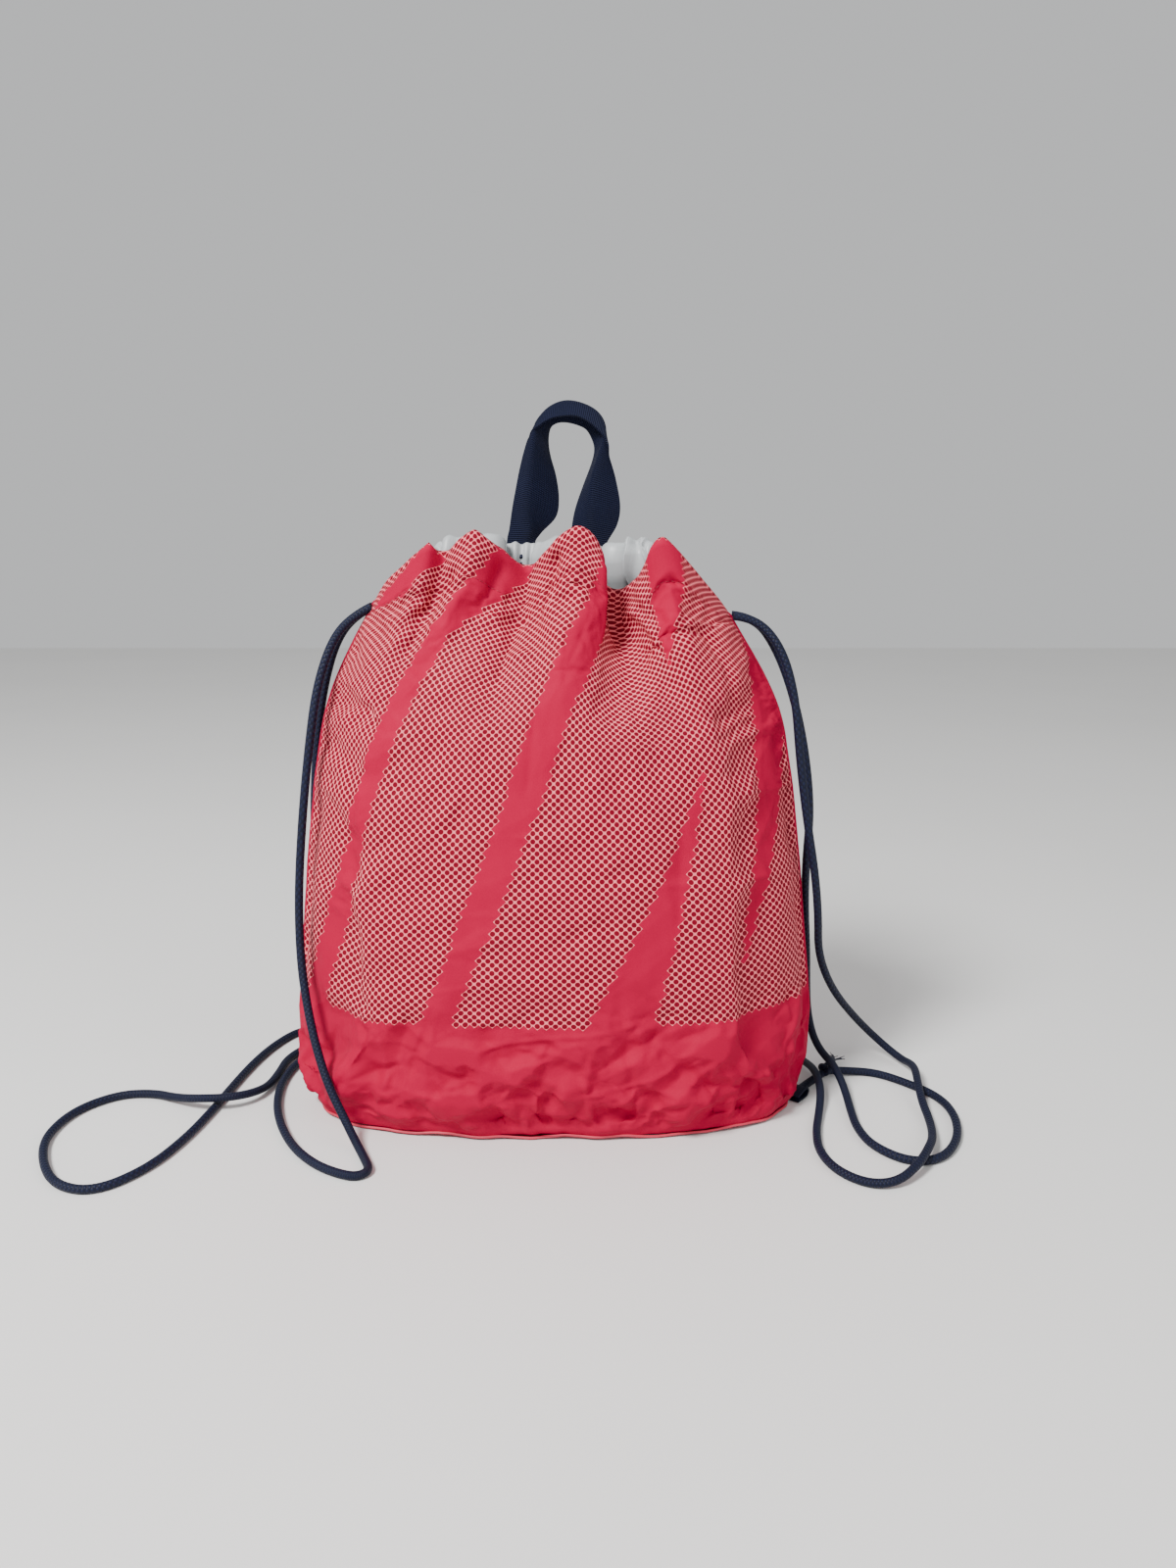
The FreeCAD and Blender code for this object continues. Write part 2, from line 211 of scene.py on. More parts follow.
# %% [markdown]
# ## The shape of the stuffed cloth
#
# A stuffed bag is a tube of flat cloth, pinched by its base seam and by its gathered mouth. Rather than
# sculpt it, this lesson writes the shape down as a sheet: a point of the sheet has a place across, from seam
# to seam, and a place up, from base to mouth. Rounded sections give the body, and a short list of points
# gives the mouth's edge with its lobes and valleys. Between the two, each thread of the cloth follows a
# smooth curve, so a valley in the mouth runs out as a fold below it, as it does in real cloth.

# %% Sections of the body and the two edges of the mouth, in millimetres
# each section: its height, half its width, half its depth, and how square its corners are
SECTIONS = np.array([
    (0, 138, 52, 2.6), (3, 147, 59, 2.6), (12, 154.5, 64, 2.5), (30, 159, 66.5, 2.5),
    (60, 160, 67, 2.4), (105, 155, 65.5, 2.4), (155, 150, 62, 2.3), (205, 143.5, 56, 2.2),
    (250, 135.5, 48, 2.0), (290, 122.5, 38.5, 1.9), (328, 95, 25, 1.8),
])
SEAM_Z = 3.0          # the seam between base and panels
SHOULDER_Z = 232.0    # where the gathers start
BODY_SHARE = 0.63     # how much of the sheet's rows lie below the shoulder

FRONT_EDGE = [
    (-104, -1, 312), (-97, -8, 321), (-88, -14, 328), (-78, -19, 336), (-68, -22, 342),
    (-61, -16, 337), (-53, -21, 344), (-43, -25, 349), (-34, -23, 344), (-25, -17, 337), (-14, -11, 329),
    (-6, -16, 336), (4, -24, 346), (14, -28, 351), (23, -27, 348), (30, -23, 338), (31, -15, 324),
    (37, -8, 315), (46, -11, 321), (52, -18, 331), (56, -24, 341), (63, -26, 345), (71, -24, 340),
    (80, -18, 331), (90, -11, 320), (98, -5, 312), (104, -1, 305),
]
BACK_EDGE = [
    (-104, 1, 311), (-97, 8, 318), (-86, 15, 328), (-76, 18, 337), (-66, 24, 343), (-56, 22, 345),
    (-46, 27, 347), (-38, 24, 345), (-30, 29, 343), (-20, 30, 343), (-11, 29, 343), (-3, 24, 343),
    (5, 27, 344), (11, 29, 343), (20, 30, 343), (30, 29, 342), (38, 22, 341), (46, 26, 344),
    (56, 24, 344), (65, 18, 339), (75, 19, 331), (84, 13, 321), (92, 8, 313), (98, 4, 308),
    (104, 1, 304),
]
print("mouth edges of", len(FRONT_EDGE), "and", len(BACK_EDGE), "points")

# %% [markdown]
# ### Curves through a few points
#
# A Catmull-Rom curve passes through every point that it is given, which suits an edge that was measured at
# its peaks and valleys. Spacing the result evenly matters as much: cloth has the same number of threads in
# every centimetre, so the sheet's columns have to be evenly spread along the edge.

# %% A smooth, evenly spaced curve
def smooth_through(points, count):
    """A smooth curve through the given points, evenly spaced along it (Catmull-Rom)."""
    p = np.array(points, float)
    p = np.vstack([2 * p[0] - p[1], p, 2 * p[-1] - p[-2]])
    t = np.linspace(0, 1, 12, endpoint=False)[:, None]
    parts = []
    for a, b, c, d in zip(p, p[1:], p[2:], p[3:]):
        parts.append(0.5 * (2 * b + (c - a) * t + (2 * a - 5 * b + 4 * c - d) * t ** 2
                            + (3 * b - a - 3 * c + d) * t ** 3))
    line = np.vstack(parts + [p[-2][None]])
    along = np.concatenate([[0], np.cumsum(np.linalg.norm(np.diff(line, axis=0), axis=1))])
    even = np.linspace(0, along[-1], count)
    return np.stack([np.interp(even, along, line[:, k]) for k in range(3)], axis=1)


print("an even curve from 3 points to 5:", smooth_through([(0, 0, 0), (1, 1, 0), (2, 0, 0)], 5).round(2))

# %% [markdown]
# ### The sheet's shape, row by row
#
# Below the shoulder each row is half of a superellipse, an ellipse with squarer corners. Above it each
# column is a Bezier curve that leaves the body in the body's own direction and arrives at the mouth's edge.

# %% Rows of the sheet from the base seam to the mouth
ROUND_STEPS = 721     # fine enough that the even spacing is true


def half_section(z, across, side):
    """Points across the front (side -1) or the back (side 1) of the body at height z."""
    width, depth, square = (np.interp(z, SECTIONS[:, 0], SECTIONS[:, k]) for k in (1, 2, 3))
    a = np.linspace(math.pi, 0, ROUND_STEPS)
    x = width * np.sign(np.cos(a)) * np.abs(np.cos(a)) ** (2 / square)
    y = side * depth * np.abs(np.sin(a)) ** (2 / square)
    along = np.concatenate([[0], np.cumsum(np.hypot(np.diff(x), np.diff(y)))])
    want = (across + 1) / 2 * along[-1]
    return np.stack([np.interp(want, along, x), np.interp(want, along, y),
                     np.full_like(want, z)], axis=1)


def cloth_shape(edge, side, columns, rows):
    """The sheet's points in millimetres, as rows from the base seam up to the mouth's edge."""
    across = np.linspace(-1, 1, columns)
    top = smooth_through(edge, columns)
    start = half_section(SHOULDER_Z, across, side)
    below = half_section(SHOULDER_Z - 12, across, side)
    heading = (start - below) / np.linalg.norm(start - below, axis=1)[:, None]
    lean = np.stack([-0.55 * across * np.abs(across), side * 0.12 * (1 - np.abs(across)),
                     np.ones_like(across)], axis=1)
    lean /= np.linalg.norm(lean, axis=1)[:, None]
    reach = np.linalg.norm(top - start, axis=1)[:, None]
    b, c = start + heading * reach * 0.38, top - lean * reach * 0.30
    grid = []
    for v in np.linspace(0, 1, rows):
        if v < BODY_SHARE:
            t = v / BODY_SHARE
            grid.append(half_section(SEAM_Z + (SHOULDER_Z - SEAM_Z) * t, across, side))
        else:
            t = (v - BODY_SHARE) / (1 - BODY_SHARE)
            grid.append((1 - t) ** 3 * start + 3 * (1 - t) ** 2 * t * b
                        + 3 * (1 - t) * t ** 2 * c + t ** 3 * top)
    return np.array(grid)


COLUMNS, ROWS = 131, 163
front_points = cloth_shape(FRONT_EDGE, -1, COLUMNS, ROWS)
back_points = cloth_shape(BACK_EDGE, 1, COLUMNS, ROWS)
middle_length = np.linalg.norm(np.diff(front_points[:, COLUMNS // 2], axis=0), axis=1).sum()
print("front sheet", front_points.shape, "length up the middle", round(middle_length), "mm")

# %% [markdown]
# ## Long folds
#
# Gathered cloth keeps long soft folds below each pinch. Each is given as a line on the sheet, from
# the mouth downwards, with a width that grows and a depth that fades along it. A negative depth is a
# valley. Moving the points along the cloth's own normals keeps the folds true on the round sides.

# %% Folds, listed one by one
CLOTH_W, CLOTH_H = 360.0, 372.0      # the flat size of one panel up to the mouth, in millimetres

# from (across, up) to (across, up) on the flat cloth, width at its top, depth at its top
FRONT_FOLDS = [
    ((52, 366), (98, 226), 9, -9.0), ((24, 362), (34, 285), 8, 3.5),
    ((82, 362), (112, 270), 9, 4.0), ((-14, 362), (-30, 285), 7, -5.0),
    ((-62, 362), (-84, 262), 7, -4.0), ((-100, 352), (-134, 270), 9, -4.0),
    ((-82, 362), (-104, 285), 7, 2.5), ((70, 352), (128, 232), 8, 3.5),
    ((112, 345), (140, 262), 8, -4.0), ((-36, 330), (-92, 322), 5, -2.5),
    ((-120, 250), (-150, 205), 7, -2.5), ((-40, 340), (-60, 250), 9, 2.0),
    ((128, 310), (152, 190), 8, -3.0), ((4, 350), (10, 280), 6, 2.5),
    ((90, 300), (60, 190), 12, -2.0),
]
BACK_FOLDS = [
    ((-60, 366), (-84, 220), 9, -8.0), ((-20, 366), (-26, 240), 8, -6.0),
    ((30, 366), (44, 236), 8, -7.0), ((74, 362), (104, 240), 9, -6.0),
    ((-104, 352), (-132, 250), 9, -4.0), ((6, 360), (8, 270), 7, 3.0),
    ((-42, 360), (-56, 260), 7, 3.0), ((52, 360), (70, 262), 7, 3.0),
    ((110, 350), (134, 250), 8, -4.0),
]
print("folds", len(FRONT_FOLDS), "in front,", len(BACK_FOLDS), "behind; valleys",
      sum(fold[3] < 0 for fold in FRONT_FOLDS + BACK_FOLDS))

# %% [markdown]
# ### Bending the sheets along their folds
#
# A fold is a rounded ridge or groove across its line. It fades to nothing at the lower end and starts within
# the first few millimetres at the top. The side seams hold the last columns still.

# %% Heights of the folds, moved along the normals
SEAM_HOLD = 0.08      # the share of half the width, beside each seam, that the folds leave alone


def normals_of(grid):
    """Unit normals of a grid of points, turned away from the bag's middle."""
    along = np.gradient(grid, axis=1)
    up = np.gradient(grid, axis=0)
    n = np.cross(along, up)
    n /= np.linalg.norm(n, axis=2)[:, :, None] + 1e-9
    outwards = np.sign((n[:, :, 1] * grid[:, :, 1]).sum())
    return n * outwards


def flat_places(rows, columns):
    """Where each point of a sheet lies on the flat cloth: across and up, in millimetres."""
    across, up = np.meshgrid(np.linspace(-0.5, 0.5, columns) * CLOTH_W,
                             np.linspace(0, 1, rows) * CLOTH_H)
    return across, up


def fold_height(across, up, folds):
    """How far each point of the flat cloth stands out because of the long folds."""
    height = np.zeros_like(across)
    for (u0, v0), (u1, v1), width, depth in folds:
        du, dv = u1 - u0, v1 - v0
        reach = math.hypot(du, dv)
        t = ((across - u0) * du + (up - v0) * dv) / reach ** 2
        off = ((across - u0) * dv - (up - v0) * du) / reach
        spread = width * (0.8 + 1.3 * np.clip(t, 0, 1))
        fade = np.clip(1 - t, 0, 1) ** 1.3 * np.clip(1 + t * 12, 0, 1)
        height += depth * fade / (1 + (off / spread) ** 2) ** 1.5
    return height


for points, folds in ((front_points, FRONT_FOLDS), (back_points, BACK_FOLDS)):
    across, up = flat_places(ROWS, COLUMNS)
    held = np.clip((np.abs(np.linspace(-1, 1, COLUMNS)) - (1 - SEAM_HOLD)) / SEAM_HOLD, 0, 1)
    points += normals_of(points) * (fold_height(across, up, folds) * (1 - held))[:, :, None]
print("the front sheet now reaches from", front_points.min(axis=(0, 1)).round(1), "to",
      front_points.max(axis=(0, 1)).round(1))

# %% [markdown]
# ## A sheet as a mesh
#
# A grid primitive has the right faces from the start, so its points only need to be moved onto the shape.
# Its UV map says where each point lies on the flat cloth, in metres. Whatever is woven into the cloth or
# printed on it can then follow the threads, however the cloth is folded.

# %% A sheet of cloth from a grid of points
def lay_flat(sheet, flat):
    """Sets the UV map from each point's place on the flat cloth, given in millimetres."""
    corner_of = np.zeros(len(sheet.data.loops), np.int32)
    sheet.data.loops.foreach_get("vertex_index", corner_of)
    places = (flat.reshape(-1, 2) * MM)[corner_of]
    sheet.data.uv_layers[0].data.foreach_set("uv", places.astype(np.float32).ravel())


def smooth_faces(obj):
    """Shades every face smooth."""
    obj.data.polygons.foreach_set("use_smooth", [True] * len(obj.data.polygons))


def sheet_mesh(name, grid, flip):
    """A grid primitive whose points are moved onto the shape, with a UV map in metres of flat cloth."""
    rows, columns = grid.shape[:2]
    deselect_all()
    bpy.ops.mesh.primitive_grid_add(x_subdivisions=columns - 1, y_subdivisions=rows - 1, size=1)
    sheet = bpy.context.active_object
    sheet.name = sheet.data.name = name
    sheet.data.vertices.foreach_set("co", (grid * MM).astype(np.float32).ravel())
    lay_flat(sheet, np.stack(flat_places(rows, columns), axis=2))
    if flip:
        sheet.data.flip_normals()
    sheet.data.update()
    return sheet


front_sheet = sheet_mesh("front_panel_cloth", front_points, False)
back_sheet = sheet_mesh("back_panel_cloth", back_points, True)
print("sheets of", len(front_sheet.data.polygons), "and", len(back_sheet.data.polygons), "faces")

# %% [markdown]
# ## Letting the cloth settle
#
# The laid folds are too tidy. Blender's cloth solver finds what a hand can't: the shallow dents between
# folds and the pulls that run from each pinch. The sheet is made a little larger than its outline, so it
# has to buckle, while a light pressure stands for the stuffing. Its edges are pinned, and no point may
# move further than a cap, so the bag keeps its shape.

# %% The cloth solver, with pinned edges and a cap
PRESSURE = 4.0        # outwards, as stuffing pushes
SPARE = 0.028         # how much larger the cloth is than its outline
CAP = 5.0             # millimetres
LAST_FRAME = 20
PINNED_BELOW, PINNED_HEM, PINNED_SIDE = 3, 12, 2      # rows and columns of the grid


def settle(sheet, grid):
    """Runs the cloth solver on a sheet, and keeps its result within the cap."""
    rows, columns = grid.shape[:2]
    row, column = np.meshgrid(np.arange(rows), np.arange(columns), indexing="ij")
    pinned = (row < PINNED_BELOW) | (row > rows - PINNED_HEM)
    pinned |= (column < PINNED_SIDE) | (column >= columns - PINNED_SIDE)
    group = sheet.vertex_groups.new(name="pinned")
    group.add([int(i) for i in np.flatnonzero(pinned)], 1.0, "REPLACE")
    cloth = sheet.modifiers.new("cloth", "CLOTH")
    cloth.settings.vertex_group_mass = "pinned"
    cloth.settings.use_pressure = True
    cloth.settings.uniform_pressure_force = PRESSURE
    cloth.settings.shrink_min = -SPARE
    cloth.settings.quality = 5
    cloth.settings.tension_stiffness = 25
    cloth.settings.compression_stiffness = 25
    cloth.settings.bending_stiffness = 0.02
    cloth.settings.effector_weights.gravity = 0
    cloth.collision_settings.use_collision = False
    scene = bpy.context.scene
    cloth.point_cache.frame_start, cloth.point_cache.frame_end = 1, LAST_FRAME
    for number in range(1, LAST_FRAME + 1):
        scene.frame_set(number)
    settled = sheet.evaluated_get(bpy.context.evaluated_depsgraph_get())
    co = np.zeros(len(settled.data.vertices) * 3, np.float32)
    settled.data.vertices.foreach_get("co", co)
    sheet.modifiers.remove(cloth)
    sheet.vertex_groups.remove(group)
    scene.frame_set(1)
    move = co.reshape(rows, columns, 3) / MM - grid
    far = np.linalg.norm(move, axis=2)[:, :, None]
    print(f"{sheet.name} moved by up to {far.max():.1f} mm, by {far.mean():.1f} mm on average")
    return grid + move * np.minimum(1, CAP / np.maximum(far, 1e-9))


front_points = settle(front_sheet, front_points)
back_points = settle(back_sheet, back_points)

# %% [markdown]
# ## Creases
#
# Woven polyester that has been packed away keeps sharp creases, most of all in the plain band at the
# bottom, which is never pulled tight. Crumpled cloth is a patchwork of almost flat facets, so a sum of
# triangle waves in many directions copies it well: each wave is flat between two sharp edges. Bending their
# lines a little stops them from looking ruled.

# %% Creases as a sum of bent triangle waves
def crumple(across, up, seed, waves, longest, shortest, ridge=0.0):
    """Heights from -1 to 1 of creased cloth; the waves run in random but seeded directions."""
    random = np.random.default_rng(seed)
    height, ridges, total = np.zeros_like(across), np.zeros_like(across), 0.0
    bend_u = across + 6 * np.sin(up / 31 + 1.3) + 2 * np.sin(up / 13 + across / 37)
    bend_v = up + 6 * np.sin(across / 29 + 0.4) + 2 * np.sin(across / 15 - up / 41)
    for k in range(waves):
        pitch = longest * (shortest / longest) ** (k / max(1, waves - 1))
        angle = random.uniform(0, math.pi)
        phase = (bend_u * math.cos(angle) + bend_v * math.sin(angle)) / pitch + random.uniform(0, 1)
        share = 0.5 + 0.5 * np.sin(across / random.uniform(40, 90) + up / random.uniform(40, 90)
                                   + random.uniform(0, 6.3))
        height += pitch * share * (np.abs(phase % 1 - 0.5) * 4 - 1)
        total += pitch
        # cloth that has been pressed flat stands up in a thin ridge along each old fold
        ridges += share ** 4 * np.exp(-((phase + 0.5) % 1 - 0.5) ** 2 * (pitch / 1.6) ** 2)
    return height / total * 1.6 + ridges * ridge


sample = crumple(*np.meshgrid(np.linspace(-170, 170, 60), np.linspace(0, 74, 20)), 1, 6, 74, 38)
print("creases of the big sort run from", sample.min().round(2), "to", sample.max().round(2))

# %% [markdown]
# ### Straight creases
#
# Waves fill the whole cloth, but an old crease is one short straight line with smooth cloth round it. A
# tent has that shape: sharp along its middle and pointed at both ends. It stands up or lies in by chance.

# %% Creases as straight tents
CREASED_HALF = 172    # creases start within this of the cloth's middle line


def crease_lines(across, up, seed, count, lowest, highest, steep):
    """Heights of straight creases at seeded places on the flat cloth."""
    random = np.random.default_rng(seed)
    height = np.zeros_like(across)
    for _ in range(count):
        u0, v0 = random.uniform(-CREASED_HALF, CREASED_HALF), random.uniform(lowest, highest)
        angle, half = random.uniform(0, math.pi), random.uniform(12, 34)
        width = half * random.uniform(0.2, 0.4)
        along = ((across - u0) * math.cos(angle) + (up - v0) * math.sin(angle)) / half
        aside = (up - v0) * math.cos(angle) - (across - u0) * math.sin(angle)
        taper = np.clip(1 - np.abs(along), 0.02, 1)
        tent = np.clip(1 - np.abs(aside) / (width * taper), 0, 1)
        height += random.choice((-1, 1)) * steep * width * taper * tent
    return height


print("the steepest tent is", 34 * 0.4 * 0.42, "mm high")

# %% [markdown]
# ### A finer grid
#
# Creases are narrower than the solver's squares. So the settled sheet first gets twice as many points each
# way, laid on smooth curves between the old ones, and only then its creases.

# %% Twice as many points each way
def finer(grid):
    """Twice as many points each way, on smooth curves between the old ones."""
    for axis in (0, 1):
        g = np.moveaxis(grid, axis, 0)
        padded = np.concatenate([2 * g[:1] - g[1:2], g, 2 * g[-1:] - g[-2:-1]])
        between = (9 * (g[:-1] + g[1:]) - (padded[:-3] + padded[3:])) / 16
        out = np.empty((2 * len(g) - 1,) + g.shape[1:])
        out[0::2], out[1::2] = g, between
        grid = np.moveaxis(out, 0, axis)
    return grid


front_points, back_points = finer(front_points), finer(back_points)
print("finer sheets", front_points.shape, back_points.shape)

# %% [markdown]
# ### All the creases together
#
# The plain band is crushed and the cloth above it is smoother. A crease may go in as far as it likes, but
# it stands out by very little, so the cords that hang beside the bag stay clear of it. The base seam
# gathers the cloth into small pleats, and the stitching under the hem pulls a shallow groove.

# %% Heights of the creases, moved along the normals
BAND_TOP = 74.0        # the plain band at the bottom is this high on the flat cloth
HEM_LINE = 346.0       # the row of stitching under the hem, on the flat cloth
MOST_OUTWARDS = 1.6
CRUSHED_INWARDS = 2.0
PLEAT_HEIGHT, PLEAT_UP = 1.1, 9
GROOVE, PUCKER = -0.35, 0.3


def creased(grid, seed):
    """A sheet with its creases, its pleats at the base seam and its pulled hem."""
    across, up = flat_places(*grid.shape[:2])
    band = 1 / (1 + np.exp((up - BAND_TOP - 6) / 7))
    free = np.clip((CLOTH_W / 2 - np.abs(across)) / 14, 0, 1) * np.clip(up / 10, 0.25, 1)
    free *= np.clip((CLOTH_H - up) / 30, 0.15, 1)
    big = crumple(across, up, seed, 6, 74, 38, ridge=0.16)
    small = crumple(across, up * 0.8, seed + 1, 5, 34, 18, ridge=0.10)
    fine = crumple(across, up, seed + 2, 7, 18, 8)
    sharp = crease_lines(across, up, seed + 3, 110, -5, BAND_TOP + 10, 0.42)
    faint = crease_lines(across, up, seed + 4, 90, BAND_TOP, CLOTH_H - 40, 0.16)
    crushed = 5.0 * big + 2.6 * small + 0.8 * fine + sharp - CRUSHED_INWARDS
    smooth = 1.6 * big + 0.9 * small + 0.3 * fine + faint
    height = free * np.minimum(band * crushed + (1 - band) * smooth, MOST_OUTWARDS)
    pleat = np.sin(across / 5.1 + 2.2 * np.sin(across / 23)) * np.exp(-((up - PLEAT_UP) / PLEAT_UP) ** 2)
    height += PLEAT_HEIGHT * pleat * np.clip((CLOTH_W / 2 - np.abs(across)) / 20, 0, 1)
    pucker = 0.5 + 0.5 * np.sin(across / 2.3 + 1.7 * np.sin(across / 11))
    groove = np.exp(-((up - HEM_LINE) / 2.2) ** 2)
    beside = np.exp(-((up - HEM_LINE) / 8.0) ** 2)
    ends = np.clip((CLOTH_W / 2 - np.abs(across)) / 10, 0, 1)
    height += ends * (GROOVE * groove + PUCKER * beside * pucker)
    return grid + normals_of(grid) * height[:, :, None]


front_points, back_points = creased(front_points, 11), creased(back_points, 23)
print("a crease stands out by at most", MOST_OUTWARDS, "mm")

# %% [markdown]
# ### The hem under the handle
#
# Webbing is far stiffer than the cloth, so where the handle is sewn on, the hem lies flat against it. Under
# each sewn end the sheet is pulled to the handle's plane, and beside it the cloth takes its own way again.

# %% The hem held flat
HANDLE_PLANE = 31.2                          # how far behind the middle the handle lies
SEWN_ENDS = ((-20.5, 10.5), (20.0, 11.5))    # middle and half width of each end of the handle
HELD_FROM, HELD_FADE = 308, 14               # the height where the pull starts, and how soon it is full


def under_webbing(x):
    """1 under the handle's sewn ends, fading to 0 beside them."""
    beside = [np.clip((np.abs(x - middle) - half) / 8, 0, 1) for middle, half in SEWN_ENDS]
    return 1 - np.minimum(*beside)


def held_flat(grid):
    """The hem pulled flat against the stiff webbing that is sewn to it."""
    share = under_webbing(grid[:, :, 0]) * np.clip((grid[:, :, 2] - HELD_FROM) / HELD_FADE, 0, 1)
    grid[:, :, 1] += (HANDLE_PLANE - 1.0 - grid[:, :, 1]) * share ** 2 * (3 - 2 * share)
    return grid


back_points = held_flat(back_points)
print("points held by the handle:", int((under_webbing(back_points[-1, :, 0]) > 0.5).sum()), "of",
      back_points.shape[1], "along the mouth")

# %% [markdown]
# ## The rolled edge of the mouth
#
# At the mouth the cloth turns over and goes down inside as the satin lining. The turn is a small half
# circle. In front the printed cloth makes the turn; behind it is the pale lining that rolls up and over,
# which is why a pale puffy edge shows there. Gathered satin stands in small pleats, which make the turn a
# little wider and narrower by turns.

# %% Rolling the edge over
ROLL_R = 4.2
ROLL_STEPS = 8
END_FADE, END_ROOM = 22, 0.08     # at the side seams the two hems meet, and the roll thins over this far


def room_at_ends(across):
    """From 1 in the middle to almost nothing at the side seams, where the two hems meet."""
    return np.clip((CLOTH_W / 2 - np.abs(across)) / END_FADE, END_ROOM, 1)


def gathers_across(seed):
    """Small pleats of gathered satin, from about -1 to 1, one number for each column of a sheet."""
    random = np.random.default_rng(seed)
    across = np.linspace(-0.5, 0.5, 2 * COLUMNS - 1) * CLOTH_W
    return sum(np.sin(across / pitch + random.uniform(0, 6.3)) for pitch in (1.3, 1.9, 2.9, 4.7)) / 2


def roll_over(grid, turn, steps, pleats=0.0):
    """Rows that go on from a sheet's top edge, round a half circle towards the inside."""
    room = room_at_ends(np.linspace(-0.5, 0.5, grid.shape[1]) * CLOTH_W)
    radius = (ROLL_R * room * (1 + 0.3 * pleats))[:, None]
    top = grid[-1]
    out = normals_of(grid)[-3].copy()
    out[:, 2] = 0
    out /= np.linalg.norm(out, axis=1)[:, None]
    rows = []
    for i in range(1, steps + 1):
        a = turn * i / steps
        rows.append(top - out * radius * (1 - math.cos(a)) + np.array([0, 0, 1.0]) * radius * math.sin(a))
    return np.array(rows)


print("the roll is", 2 * ROLL_R, "mm wide in the middle and", 2 * ROLL_R * END_ROOM, "mm at the seams")

# %% [markdown]
# ### Staying inside the outer cloth
#
# Whatever lies inside the bag must not come through its cloth. A BVH tree finds the nearest place on a
# surface quickly, with the direction that the surface faces there; a point on the wrong side is moved back.
# The same trees tell how far the free cords pass from the cloth.

# %% Search trees over the two sheets
def smoothed(grid, passes):
    """A grid with its bumps evened out, and its outline kept."""
    for _ in range(passes):
        beside = grid[1:-1, :-2] + grid[1:-1, 2:] + grid[:-2, 1:-1] + grid[2:, 1:-1]
        grid = grid.copy()
        grid[1:-1, 1:-1] = grid[1:-1, 1:-1] * 0.4 + beside * 0.15
    return grid


def surface_of(grid):
    """A search tree over a grid of points, for finding the nearest place on its surface."""
    number = np.arange(grid.shape[0] * grid.shape[1]).reshape(grid.shape[:2])
    quads = np.stack([number[:-1, :-1], number[:-1, 1:], number[1:, 1:], number[1:, :-1]], axis=2)
    return BVHTree.FromPolygons(grid.reshape(-1, 3).tolist(), quads.reshape(-1, 4).tolist())


surfaces = {"front": surface_of(front_points), "back": surface_of(back_points)}
for name, cord in strands.items():
    gap = min(outer.find_nearest(place / MM)[3] for place in line_of(cord) for outer in surfaces.values())
    print(f"{name} passes the cloth with {gap - CORD / 2:.1f} mm to spare")


def keep_inside(points, outer, side, clearance):
    """Moves points that come through the outer cloth back inside (side is -1 in front, 1 behind)."""
    kept = points.reshape(-1, 3).copy()
    wanted = np.broadcast_to(clearance, points.shape[:-1]).ravel()
    for _ in range(2):
        for i, place in enumerate(kept):
            near, normal, _, _ = outer.find_nearest(place)
            inwards = normal * side
            if (Vector(place) - near).dot(inwards) < wanted[i]:
                kept[i] = near + inwards * wanted[i]
    return kept.reshape(points.shape)


# %% [markdown]
# ### The lining
#
# The lining hangs a little inside the outer cloth, and further in at the hem, where the two make the
# channel for the cords. It is slack, so it takes none of the outer creases: it follows a smoothed copy of
# the sheet. Its pleats are deepest at the mouth and fade below it.

# %% Rows of the lining
COARSE = 3                # the lining keeps every third row of the outer sheet
SMOOTHING = 12
LINING_GAP = 6.0
LINING_CLEARANCE = 1.2
PLEAT_DEPTH, PLEAT_FADE = 2.6, 46


def lining_rows(grid, outer, side, pleats):
    """The lining of one outer sheet: from inside the rolled edge down to the base, by rows."""
    rolled = roll_over(grid, math.pi, ROLL_STEPS, pleats)[-1]
    inner = smoothed(grid[::-COARSE], SMOOTHING)
    across, up = flat_places(*grid.shape[:2])
    up = up[::-COARSE]
    channel = np.clip((up - HEM_LINE + 6) / 12, 0, 1)
    gap = LINING_GAP + channel * (2 * ROLL_R - LINING_GAP)
    fade = np.exp(-((CLOTH_H - up) / PLEAT_FADE) ** 2)
    room = room_at_ends(across[0])
    depth = (gap + PLEAT_DEPTH * fade * (pleats + 1)) * room
    rows = keep_inside(inner - normals_of(inner) * depth[:, :, None], outer, side, LINING_CLEARANCE * room)
    return np.concatenate([rolled[None], rows[2:]])


front_pleats, back_pleats = gathers_across(5), gathers_across(6)
flat_share = under_webbing(back_points[-1, :, 0])      # the webbing presses the rolled edge thin
back_pleats = back_pleats * (1 - 0.4 * flat_share) - 1.6 * flat_share
front_rows = lining_rows(front_points, surfaces["front"], -1, front_pleats)
back_rows = lining_rows(back_points, surfaces["back"], 1, back_pleats)
back_roll = roll_over(back_points + normals_of(back_points) * 0.3, math.pi, ROLL_STEPS, back_pleats)
back_rows = np.concatenate([back_roll[:-1], back_rows])
print("lining rows", len(front_rows), len(back_rows))

# %% [markdown]
# ### The finished sheets
#
# The coarse sheets that the solver used are swapped for finished ones. Each new sheet says how high on the
# flat cloth every one of its rows lies, so that the rolled edge carries the print on without a stretch.

# %% Outer cloth and lining as meshes


